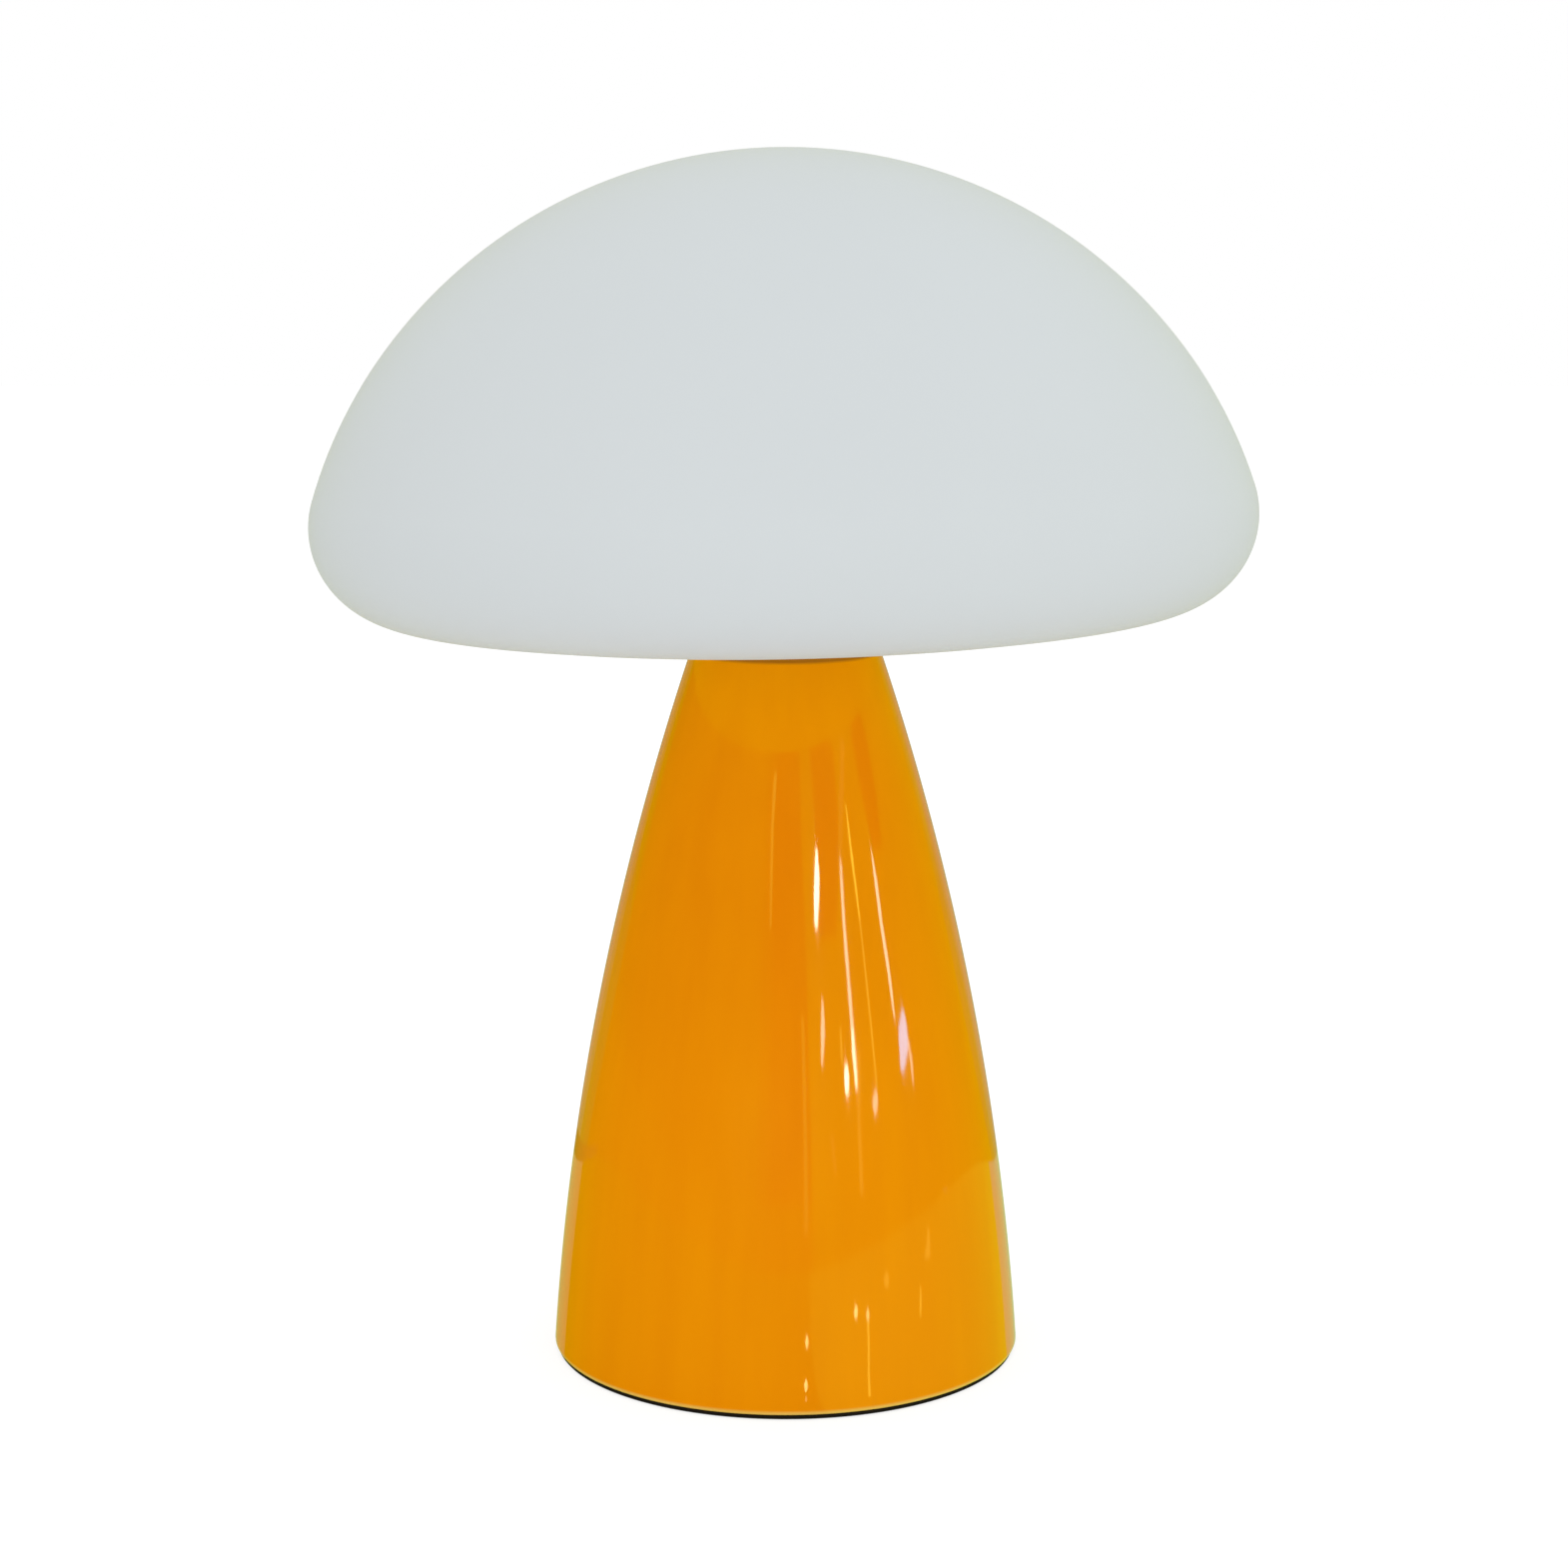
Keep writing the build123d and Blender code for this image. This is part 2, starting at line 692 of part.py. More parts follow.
screw_tip = terminal_offset + lead_radius + thread_clearance
screw_seat = terminal_offset + terminal_size / 2
with BuildPart() as holder_terminal_screws:
    for side in (-1, 1):
        with BuildSketch(Plane.YZ.offset(side * screw_tip)):
            with Locations((0, screw_z)):
                Circle(terminal_screw_radius)
        extrude(amount=side * (screw_seat - screw_tip))
        with BuildSketch(Plane.YZ.offset(side * screw_seat)):
            with Locations((0, screw_z)):
                Circle(terminal_screw_head_radius)
        extrude(amount=side * terminal_screw_head_thickness)
holder_terminal_screws.part.label = "holder_terminal_screws"
export_step(holder_terminal_screws.part, "parts/holder_terminal_screws.step")

strip_top = core_top + contact_sheet
with BuildPart() as holder_rivets:
    with BuildSketch(Plane.XY.offset(core_low - rivet_grip)):
        with Locations(*terminal_places):
            Circle(rivet_radius)
    extrude(amount=strip_top - core_low + rivet_grip)
    with BuildSketch(Plane.XY.offset(strip_top)):
        with Locations(*terminal_places):
            Circle(rivet_head_radius)
    extrude(amount=rivet_head_thickness)
holder_rivets.part.label = "holder_rivets"
export_step(holder_rivets.part, "parts/holder_rivets.step")

# Contacts: a springy tongue under the bulb's tip, and a riser to the sleeve's flange
strip_end = terminal_offset + rivet_head_radius + rest_gap
tongue_top = tip_low - rest_gap
with BuildPart() as holder_centre_contact:
    with BuildSketch(Plane.XZ):
        with BuildLine():
            Polyline(
                (-strip_end, core_top),
                (-tongue_foot, core_top),
                (-tongue_knee, tongue_top - contact_sheet),
                (bulb_tip_radius, tongue_top - contact_sheet),
                (bulb_tip_radius, tongue_top),
                (-tongue_knee - contact_sheet, tongue_top),
                (-tongue_foot - contact_sheet, strip_top),
                (-strip_end, strip_top),
                close=True,
            )
        make_face()
    extrude(amount=contact_width / 2, both=True)
    with BuildSketch(Plane.XY.offset(core_top)):
        with Locations((-terminal_offset, 0)):
            Circle(rivet_radius + thread_clearance)
    extrude(amount=contact_sheet, mode=Mode.SUBTRACT)
holder_centre_contact.part.label = "holder_centre_contact"
export_step(holder_centre_contact.part, "parts/holder_centre_contact.step")

riser = strip_end + contact_sheet
with BuildPart() as holder_side_contact:
    with BuildSketch(Plane.XZ):
        with BuildLine():
            Polyline(
                (terminal_offset - rivet_head_radius, core_top),
                (riser, core_top),
                (riser, ring_top),
                (strip_end, ring_top),
                (strip_end, strip_top),
                (terminal_offset - rivet_head_radius, strip_top),
                close=True,
            )
        make_face()
    extrude(amount=contact_width / 2, both=True)
    with BuildSketch(Plane.XY.offset(core_top)):
        with Locations((terminal_offset, 0)):
            Circle(rivet_radius + thread_clearance)
    extrude(amount=contact_sheet, mode=Mode.SUBTRACT)
holder_side_contact.part.label = "holder_side_contact"
export_step(holder_side_contact.part, "parts/holder_side_contact.step")

# Threaded sleeve that the bulb screws into, standing on the core's ring
lip_low = holder_top - holder_lip_thickness
with BuildPart() as holder_thread_sleeve:
    with BuildSketch(Plane.XY.offset(ring_top)):
        Circle(sleeve_inner_radius + sleeve_wall)
        Circle(sleeve_inner_radius, mode=Mode.SUBTRACT)
    extrude(amount=lip_low - ring_top - rest_gap)
    with BuildSketch(Plane.XY.offset(ring_top)):
        Circle(sleeve_flange_radius)
        Circle(sleeve_inner_radius, mode=Mode.SUBTRACT)
    extrude(amount=contact_sheet)
holder_thread_sleeve.part.label = "holder_thread_sleeve"
export_step(holder_thread_sleeve.part, "parts/holder_thread_sleeve.step")

# Skirt, screwed down over the base so that its shoulder holds the core
skirt_inner_radius = holder_spigot_radius + thread_clearance
skirt_upper_radius = core_radius + slip_clearance
with BuildPart() as holder_skirt:
    with BuildSketch(Plane.XZ) as skirt_profile:
        with BuildLine():
            Polyline(
                (skirt_inner_radius, holder_low + holder_spigot_low + rest_gap),
                (holder_radius, holder_low + holder_spigot_low + rest_gap),
                (holder_radius, holder_top),
                (holder_lip_radius, holder_top),
                (holder_lip_radius, lip_low),
                (skirt_upper_radius, lip_low),
                (skirt_upper_radius, core_flange_top),
                (skirt_inner_radius, core_flange_top),
                close=True,
            )
        make_face()
        skirt_edge = skirt_profile.vertices().group_by(Axis.Y)[-1].sort_by(Axis.X)[-1]
        fillet(skirt_edge, radius=holder_edge_round)
    revolve(axis=Axis.Z)
holder_skirt.part.label = "holder_skirt"
export_step(holder_skirt.part, "parts/holder_skirt.step")

# Bulb cap: solder tip, black glass insulator and threaded shell
with BuildPart() as bulb_tip:
    with BuildSketch(Plane.XY.offset(tip_low)):
        Circle(bulb_tip_radius)
    extrude(amount=bulb_tip_thickness)
    fillet(bulb_tip.edges().group_by(Axis.Z)[0], radius=bulb_tip_round)
bulb_tip.part.label = "bulb_tip"
export_step(bulb_tip.part, "parts/bulb_tip.step")

cap_inner_radius = cap_radius - cap_wall
with BuildPart() as bulb_cap_insulator:
    with BuildSketch(Plane.XZ):
        with BuildLine():
            Polyline(
                (0, insulator_low),
                (bulb_tip_radius + cap_wall, insulator_low),
                (cap_inner_radius, cap_low),
                (0, cap_low),
                close=True,
            )
        make_face()
    revolve(axis=Axis.Z)
bulb_cap_insulator.part.label = "bulb_cap_insulator"
export_step(bulb_cap_insulator.part, "parts/bulb_cap_insulator.step")

with BuildPart() as bulb_cap:
    with BuildSketch(Plane.XY.offset(cap_low)):
        Circle(cap_radius)
    extrude(amount=cap_length)
    with BuildSketch(Plane.XY.offset(cap_low + cap_wall)):
        Circle(cap_inner_radius)
    extrude(amount=cap_length, mode=Mode.SUBTRACT)
bulb_cap.part.label = "bulb_cap"
export_step(bulb_cap.part, "parts/bulb_cap.step")

# Bulb housing, flaring from the cap to the globe, with a ledge for the LED board
spigot_radius = cap_inner_radius - rest_gap
spigot_low = cap_top - housing_spigot_length
ledge = housing_top - board_ledge_depth
ledge_radius = housing_radius - housing_wall
with BuildPart() as bulb_housing:
    with BuildSketch(Plane.XZ):
        with BuildLine():
            Polyline(
                (housing_bore_radius, spigot_low),
                (spigot_radius, spigot_low),
                (spigot_radius, cap_top),
                (housing_neck_radius, cap_top),
            )
            Spline(
                (housing_neck_radius, cap_top),
                (housing_radius, housing_top),
                tangents=[(housing_foot_slope, 1), (housing_mouth_slope, 1)],
            )
            Polyline(
                (housing_radius, housing_top),
                (ledge_radius, housing_top),
                (ledge_radius, ledge),
                (ledge_radius - housing_wall, ledge),
                (housing_bore_radius, cap_top + housing_wall),
                (housing_bore_radius, spigot_low),
            )
        make_face()
    revolve(axis=Axis.Z)
bulb_housing.part.label = "bulb_housing"
export_step(bulb_housing.part, "parts/bulb_housing.step")

with BuildPart() as bulb_driver_board:
    with BuildSketch(Plane.XY.offset(ledge - rest_gap)):
        Rectangle(driver_width, board_thickness)
    extrude(amount=-driver_length)
bulb_driver_board.part.label = "bulb_driver_board"
export_step(bulb_driver_board.part, "parts/bulb_driver_board.step")

with BuildPart() as bulb_led_board:
    with BuildSketch(Plane.XY.offset(ledge)):
        Circle(ledge_radius - rest_gap)
    extrude(amount=board_thickness)
bulb_led_board.part.label = "bulb_led_board"
export_step(bulb_led_board.part, "parts/bulb_led_board.step")

with BuildPart() as bulb_leds:
    with BuildSketch(Plane.XY.offset(ledge + board_thickness)):
        with PolarLocations(led_ring_radius, led_count):
            Rectangle(led_size, led_size)
    extrude(amount=led_thickness)
bulb_leds.part.label = "bulb_leds"
export_step(bulb_leds.part, "parts/bulb_leds.step")

# Globe: belly arc, taper arc and a small round tip, all meeting smoothly
belly_centre_r = globe_radius - globe_belly_radius
taper_centre_r = globe_radius - globe_taper_radius
tip_turn = degrees(acos((globe_tip_offset - taper_centre_r) / globe_taper_radius))
tip_radius = globe_tip_offset / cos(radians(tip_turn))
tip_centre_z = globe_belly + (globe_taper_radius - tip_radius) * sin(radians(tip_turn))


def globe_arcs(inset):
    belly_radius = globe_belly_radius - inset
    start = -degrees(asin(globe_belly_height / belly_radius))
    CenterArc((belly_centre_r, globe_belly), belly_radius, start, -start)
    CenterArc((taper_centre_r, globe_belly), globe_taper_radius - inset, 0, tip_turn)
    CenterArc((0, tip_centre_z), tip_radius - inset, tip_turn, 90 - tip_turn)


def globe_foot(inset):
    reach = globe_belly_radius - inset
    return belly_centre_r + sqrt(reach**2 - globe_belly_height**2), housing_top


with BuildPart() as bulb_globe:
    with BuildSketch(Plane.XZ):
        with BuildLine():
            Line(globe_foot(globe_wall), globe_foot(0))
            globe_arcs(0)
            globe_arcs(globe_wall)
            Line((0, tip_centre_z + tip_radius), (0, tip_centre_z + tip_radius - globe_wall))
        make_face()
    revolve(axis=Axis.Z)
bulb_globe.part.label = "bulb_globe"
export_step(bulb_globe.part, "parts/bulb_globe.step")
print("bulb from", round(tip_low, 1), "to", round(tip_centre_z + tip_radius, 1))
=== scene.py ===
"""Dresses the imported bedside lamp: satin opal shade, orange glaze, ribbed lampholder and candle bulb.

Everything is in metres in the part's own frame: +Z up, the front faces -Y, the cord entry is at +Y.
"""

import json
import math

import bmesh
import bpy
from mathutils import Matrix, Vector, noise


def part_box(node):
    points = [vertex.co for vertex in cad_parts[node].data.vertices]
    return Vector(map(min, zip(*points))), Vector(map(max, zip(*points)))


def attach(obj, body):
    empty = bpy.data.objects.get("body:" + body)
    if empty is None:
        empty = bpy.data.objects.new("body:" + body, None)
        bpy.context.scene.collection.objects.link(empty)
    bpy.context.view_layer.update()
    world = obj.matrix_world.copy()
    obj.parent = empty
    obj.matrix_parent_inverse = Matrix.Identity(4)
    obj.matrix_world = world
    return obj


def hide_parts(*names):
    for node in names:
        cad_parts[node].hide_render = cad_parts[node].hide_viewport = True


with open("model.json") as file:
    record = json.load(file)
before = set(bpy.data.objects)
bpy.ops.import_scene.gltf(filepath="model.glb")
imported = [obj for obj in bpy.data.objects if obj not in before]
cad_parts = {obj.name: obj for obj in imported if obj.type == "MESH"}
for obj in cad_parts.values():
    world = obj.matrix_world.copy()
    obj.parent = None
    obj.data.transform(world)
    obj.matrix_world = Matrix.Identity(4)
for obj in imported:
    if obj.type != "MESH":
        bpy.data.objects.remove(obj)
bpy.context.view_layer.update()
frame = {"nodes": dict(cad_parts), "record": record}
MM = 0.001

# Viewpoint, found by fitting the lamp's outline to the photograph
CAMERA_DISTANCE = 888 * MM
CAMERA_HEIGHT = 313 * MM
AIM = Vector((-0.45 * MM, 0, 162.1 * MM))
FOCAL_PIXELS = 3221
IMAGE_PIXELS = 1570
SENSOR = 36.0
CLIP_END = 60.0


def add_camera():
    data = bpy.data.cameras.new("camera")
    data.sensor_width = SENSOR
    data.lens = SENSOR * FOCAL_PIXELS / IMAGE_PIXELS
    data.clip_end = CLIP_END
    camera = bpy.data.objects.new("camera", data)
    camera.location = (0, -CAMERA_DISTANCE, CAMERA_HEIGHT)
    camera.rotation_mode = "QUATERNION"
    camera.rotation_quaternion = (AIM - camera.location).to_track_quat("-Z", "Y")
    bpy.context.scene.collection.objects.link(camera)
    bpy.context.scene.camera = camera
    return camera


camera = add_camera()
bpy.context.scene.view_settings.view_transform = "Standard"


# Profiles: lists of (radius, height) points, revolved about the lamp's axis
ON_AXIS = 0.0001 * MM
ON_OUTSIDE = 0.01 * MM
CORNER_STEPS = 6


def arc(centre, radius, start, sweep, steps):
    """Points on an arc, angles in degrees from the outward direction, positive upwards."""
    angles = [math.radians(start + sweep * i / steps) for i in range(steps + 1)]
    return [(centre[0] + radius * math.cos(a), centre[1] + radius * math.sin(a)) for a in angles]


def rounded(corners):
    """A closed outline from (radius, height, rounding) corners."""
    points = []
    for i, (r, z, size) in enumerate(corners):
        here = Vector((r, z))
        if size <= 0:
            points.append((r, z))
            continue
        before = (Vector(corners[i - 1][:2]) - here).normalized()
        after = (Vector(corners[(i + 1) % len(corners)][:2]) - here).normalized()
        half = math.acos(max(-1, min(1, before.dot(after)))) / 2
        middle = here + (before + after).normalized() * size / math.sin(half)
        first = here + before * size / math.tan(half) - middle
        last = here + after * size / math.tan(half) - middle
        start = math.atan2(first.y, first.x)
        turn = (math.atan2(last.y, last.x) - start + math.pi) % (2 * math.pi) - math.pi
        for k in range(CORNER_STEPS + 1):
            angle = start + turn * k / CORNER_STEPS
            points.append((middle.x + size * math.cos(angle), middle.y + size * math.sin(angle)))
    return points


def ring_normals(mesh, sharp_degrees):
    mesh.polygons.foreach_set("use_smooth", [True] * len(mesh.polygons))
    mesh.set_sharp_from_angle(angle=math.radians(sharp_degrees))


SHARP_DEGREES = 35.0


def revolve(name, outline, segments, closed=True, warp=None, sharp=SHARP_DEGREES):
    """A solid of revolution. warp(angle, radius, height) gives back the radius to use there."""
    bm = bmesh.new()
    rings = []
    for r, z in outline:
        if r < ON_AXIS:
            rings.append([bm.verts.new((0, 0, z))] * segments)
            continue
        ring = []
        for k in range(segments):
            angle = 2 * math.pi * k / segments
            reach = warp(angle, r, z) if warp else r
            ring.append(bm.verts.new((reach * math.sin(angle), -reach * math.cos(angle), z)))
        rings.append(ring)
    pairs = list(zip(rings, rings[1:]))
    if closed:
        pairs.append((rings[-1], rings[0]))
    for low, high in pairs:
        for k in range(segments):
            n = (k + 1) % segments
            corners = list(dict.fromkeys((low[k], low[n], high[n], high[k])))
            if len(corners) > 2:
                bm.faces.new(corners)
    bmesh.ops.recalc_face_normals(bm, faces=bm.faces)
    mesh = bpy.data.meshes.new(name)
    bm.to_mesh(mesh)
    bm.free()
    ring_normals(mesh, sharp)
    piece = bpy.data.objects.new(name, mesh)
    bpy.context.scene.collection.objects.link(piece)
    return piece


# A Mix node that mixes colours has its sockets at these places
MIX_FACTOR = 0
MIX_FIRST = 6
MIX_SECOND = 7
MIX_RESULT = 2

# The part of a noise field's range that is stretched to the full range of a finish
NOISE_WIDE = (0.3, 0.7)
NOISE_CORE = (0.35, 0.65)
GLOSS_SPREAD = 0.15


def new_material(name, colour, roughness, metallic=0.0, specular=0.5, ior=1.5):
    material = bpy.data.materials.new(name)
    material.use_nodes = True
    shader = material.node_tree.nodes["Principled BSDF"]
    shader.inputs["Base Color"].default_value = (*colour, 1)
    shader.inputs["Roughness"].default_value = roughness
    shader.inputs["Metallic"].default_value = metallic
    shader.inputs["Specular IOR Level"].default_value = specular
    shader.inputs["IOR"].default_value = ior
    return material, shader


def add_node(owner, kind, **settings):
    """Adds a node to the tree of a material or of the world."""
    node = owner.node_tree.nodes.new(kind)
    for key, value in settings.items():
        setattr(node, key, value)
    return node


def link(owner, source, target):
    owner.node_tree.links.new(source, target)


def place_coordinates(material, stretch=(1, 1, 1)):
    """Object coordinates in metres, scaled along each axis."""
    where = add_node(material, "ShaderNodeTexCoord")
    mapping = add_node(material, "ShaderNodeMapping")
    mapping.inputs["Scale"].default_value = stretch
    link(material, where.outputs["Object"], mapping.inputs["Vector"])
    return mapping.outputs["Vector"]


def noise_field(material, vector, scale, detail=2.0):
    field = add_node(material, "ShaderNodeTexNoise")
    field.inputs["Scale"].default_value = scale
    field.inputs["Detail"].default_value = detail
    link(material, vector, field.inputs["Vector"])
    return field.outputs["Fac"]


def map_range(owner, value, low, high, to_low, to_high):
    node = add_node(owner, "ShaderNodeMapRange")
    node.inputs["From Min"].default_value = low
    node.inputs["From Max"].default_value = high
    node.inputs["To Min"].default_value = to_low
    node.inputs["To Max"].default_value = to_high
    link(owner, value, node.inputs["Value"])
    return node.outputs["Result"]


def mix_colour(owner, factor, first, second):
    """Mixes two colours, each of which is a node's output or plain numbers."""
    node = add_node(owner, "ShaderNodeMix", data_type="RGBA")
    for place, value in ((MIX_FIRST, first), (MIX_SECOND, second)):
        if isinstance(value, bpy.types.NodeSocket):
            link(owner, value, node.inputs[place])
        else:
            node.inputs[place].default_value = (*value, 1)
    link(owner, factor, node.inputs[MIX_FACTOR])
    return node.outputs[MIX_RESULT]


def tinted(material, colour, tint):
    node = add_node(material, "ShaderNodeMix", data_type="RGBA", blend_type="MULTIPLY")
    node.inputs[MIX_FACTOR].default_value = 1
    link(material, colour, node.inputs[MIX_FIRST])
    node.inputs[MIX_SECOND].default_value = (*tint, 1)
    return node.outputs[MIX_RESULT]


def bump(material, shader, height, distance):
    node = add_node(material, "ShaderNodeBump")
    node.inputs["Distance"].default_value = distance
    link(material, height, node.inputs["Height"])
    link(material, node.outputs["Normal"], shader.inputs["Normal"])


def varied(name, colour, roughness, spread=0.06, patch=0.01, grain=0.0006, depth=0.00002, **extra):
    """A plain finish with soft colour patches, uneven gloss and a fine grain."""
    material, shader = new_material(name, colour, roughness, **extra)
    vector = place_coordinates(material)
    patches = noise_field(material, vector, 1 / patch)
    darker = [c * (1 - spread) for c in colour]
    lighter = [min(1, c * (1 + spread)) for c in colour]
    tint = map_range(material, patches, *NOISE_WIDE, 0, 1)
    link(material, mix_colour(material, tint, darker, lighter), shader.inputs["Base Color"])
    grains = noise_field(material, vector, 1 / grain)
    smoother = roughness * (1 - GLOSS_SPREAD)
    rougher = min(1, roughness * (1 + GLOSS_SPREAD))
    gloss = map_range(material, grains, *NOISE_WIDE, smoother, rougher)
    link(material, gloss, shader.inputs["Roughness"])
    bump(material, shader, grains, depth)
    return material


# Glaze colour by height above the foot, in mm, with painted light: the tones rise towards the neck to
# make up for the shade's shadow there
GLAZE_TONES_AND_PAINTED_LIGHT = (
    (60, (0.905, 0.267, 0.0003)),
    (86, (0.905, 0.265, 0.0003)),
    (112, (0.887, 0.256, 0.0003)),
    (137, (0.890, 0.254, 0.0003)),
    (163, (0.926, 0.266, 0.0003)),
    (183, (0.975, 0.291, 0.0003)),
    (200, (1.000, 0.303, 0.0003)),
)
GLAZE_ROUGHNESS = 0.05
GLAZE_IOR = 1.7

# Broad patches, narrow runs and ripples, each drawn out along the height by a stretch below 1
GLAZE_DEEPER = (0.978, 0.957, 1.0)
TONE_STRETCH = (1, 1, 0.25)
TONE_SCALE = 28
GLAZE_STREAKS = ((0.990, 0.974, 1.0), (1.010, 1.026, 1.0))
STREAK_STRETCH = (1, 1, 0.07)
STREAK_SCALE = 130
RIPPLE_STRETCH = (1, 1, 0.12)
RIPPLE_SCALE = 210
RIPPLE_DEPTH = 0.008 * MM

# A pale band over the foot's edge, and painted shade: a brown band on the neck just under the shade,
# with the heights in mm where they fade
PALE_FOOT_EDGE = (0.90, 0.56, 0.12)
PALE_EDGE_FADE = (0.6, 1.5)
NECK_PAINTED_SHADE = (0.42, 0.105, 0.008)
NECK_SHADE_FADE = (197.7, 198.5)

SHADE_WHITE = (0.664, 0.688, 0.703)
SHADE_DIMMER = (0.654, 0.677, 0.692)
SHADE_ROUGHNESS = (0.46, 0.56)
SHADE_SPECULAR = 0.05
SHADE_CLOUD_SCALE = 9
SHADE_GRAIN_SCALE = 1600
SHADE_GRAIN_DEPTH = 0.01 * MM


def colour_ramp(material, factor, stops):
    node = add_node(material, "ShaderNodeValToRGB")
    elements = node.color_ramp.elements
    for element, (place, colour) in zip(elements, (stops[0], stops[-1])):
        element.position = place
        element.color = (*colour, 1)
    for place, colour in stops[1:-1]:
        elements.new(place).color = (*colour, 1)
    link(material, factor, node.inputs["Fac"])
    return node.outputs["Color"]


def glaze_material(foot_height):
    """Opaque orange glaze, slightly uneven in tone and pale over the foot's edge. Painted light lightens
    it towards the neck, against the shade's shadow, and painted shade darkens a band on the neck under
    the shade."""
    material, shader = new_material("orange_glaze", GLAZE_TONES_AND_PAINTED_LIGHT[0][1], GLAZE_ROUGHNESS, ior=GLAZE_IOR)
    split = add_node(material, "ShaderNodeSeparateXYZ")
    link(material, place_coordinates(material), split.inputs[0])

    def fade(low, high, to_low, to_high):
        """A factor that changes between two heights above the foot, given in mm."""
        start = foot_height + low * MM
        end = foot_height + high * MM
        return map_range(material, split.outputs["Z"], start, end, to_low, to_high)

    def field(stretch, scale):
        return noise_field(material, place_coordinates(material, stretch), scale)

    top = GLAZE_TONES_AND_PAINTED_LIGHT[-1][0]
    stops = [(height / top, colour) for height, colour in GLAZE_TONES_AND_PAINTED_LIGHT]
    # Painted light: the ramp lightens the glaze towards the neck, where the shade shades it
    body = colour_ramp(material, fade(0, top, 0, 1), stops)
    tone = map_range(material, field(TONE_STRETCH, TONE_SCALE), *NOISE_CORE, 0, 1)
    body = mix_colour(material, tone, body, tinted(material, body, GLAZE_DEEPER))
    streak = map_range(material, field(STREAK_STRETCH, STREAK_SCALE), *NOISE_CORE, 0, 1)
    deeper, paler = (tinted(material, body, tint) for tint in GLAZE_STREAKS)
    body = mix_colour(material, streak, deeper, paler)
    body = mix_colour(material, fade(*PALE_EDGE_FADE, 1, 0), body, PALE_FOOT_EDGE)
    # Painted shade: a brown band on the neck just under the shade
    body = mix_colour(material, fade(*NECK_SHADE_FADE, 0, 1), body, NECK_PAINTED_SHADE)
    link(material, body, shader.inputs["Base Color"])
    bump(material, shader, field(RIPPLE_STRETCH, RIPPLE_SCALE), RIPPLE_DEPTH)
    return material


def opal_material():
    """Acid-satined opal glass, very even."""
    smoothest = SHADE_ROUGHNESS[0]
    material, shader = new_material("satin_opal", SHADE_WHITE, smoothest, specular=SHADE_SPECULAR)
    vector = place_coordinates(material)
    clouds = noise_field(material, vector, SHADE_CLOUD_SCALE, detail=3)
    cloud = map_range(material, clouds, *NOISE_CORE, 0, 1)
    link(material, mix_colour(material, cloud, SHADE_DIMMER, SHADE_WHITE), shader.inputs["Base Color"])
    grain = noise_field(material, vector, SHADE_GRAIN_SCALE)
    gloss = map_range(material, grain, *NOISE_WIDE, *SHADE_ROUGHNESS)
    link(material, gloss, shader.inputs["Roughness"])
    bump(material, shader, grain, SHADE_GRAIN_DEPTH)
    return material


def metal(name, colour, roughness):
    finish = {"spread": 0.04, "patch": 0.006, "grain": 0.0005, "depth": 0.000008}
    return varied(name, colour, roughness, metallic=1.0, **finish)


materials = {
    "foam_black": varied("foam", (0.012, 0.009, 0.007), 0.95, grain=0.0004, depth=0.0001, specular=0.1),
    "rubber_black": varied("rubber", (0.02, 0.02, 0.02), 0.6, grain=0.0005),
    "silicone_clear": varied("silicone", (0.62, 0.62, 0.60), 0.45, spread=0.02, specular=0.2),
    "steel_painted": varied("black_paint", (0.025, 0.025, 0.025), 0.5, grain=0.0008, depth=0.00004),
    "carrier_white": varied(
        "powder_coat", (0.72, 0.72, 0.71), 0.45, spread=0.02, grain=0.0007, depth=0.00003, specular=0.15
    ),
    "plastic_white": varied(
        "holder_plastic", (0.74, 0.74, 0.73), 0.38, spread=0.02, patch=0.02, specular=0.15
    ),
    "plastic_natural": varied("polyamide", (0.70, 0.68, 0.56), 0.4),
    "steatite": varied("steatite", (0.74, 0.70, 0.62), 0.75, grain=0.0004, depth=0.00005),
    "insulation_brown": varied("brown_insulation", (0.09, 0.035, 0.015), 0.35),
    "insulation_blue": varied("blue_insulation", (0.01, 0.06, 0.28), 0.35),
    "black_glass": varied("vitrite", (0.008, 0.008, 0.010), 0.12),
    "bulb_white": varied(
        "bulb_housing", (0.78, 0.78, 0.77), 0.25, spread=0.012, patch=0.03, specular=0.2
    ),
    "bulb_opal": varied(
        "bulb_opal", (0.76, 0.77, 0.765), 0.42, spread=0.012, patch=0.03, specular=0.1
    ),
    "board_green": varied("solder_mask", (0.01, 0.09, 0.03), 0.3),
    "board_aluminium": varied("white_board", (0.78, 0.78, 0.76), 0.35),
    "phosphor": varied("phosphor", (0.85, 0.62, 0.06), 0.4),
    "steel_zinc": metal("zinc_steel", (0.55, 0.56, 0.55), 0.32),
    "brass": metal("brass", (0.72, 0.50, 0.20), 0.28),
    "solder": metal("solder", (0.60, 0.60, 0.60), 0.38),
    "nickel": metal("nickel", (0.66, 0.63, 0.58), 0.2),
    "glaze_orange": glaze_material(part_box("ceramic_body")[0].z),
    "opal_glass": opal_material(),
}


def finish_piece(piece, slot, body, node):
    """Gives a new piece the material of its slot and the body it rides on, and hides the node it stands
    for.
    """
    piece.data.materials.clear()
    piece.data.materials.append(materials[slot])
    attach(piece, body)
    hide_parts(node)


def dress_nodes():
    """Gives every carried-over node the material of its slot."""
    slots = {s["node"]: s["material_slot"] for s in frame["record"]["subparts"]}
    for name, node in frame["nodes"].items():
        node.data.materials.clear()
        node.data.materials.append(materials[slots[name]])


dress_nodes()

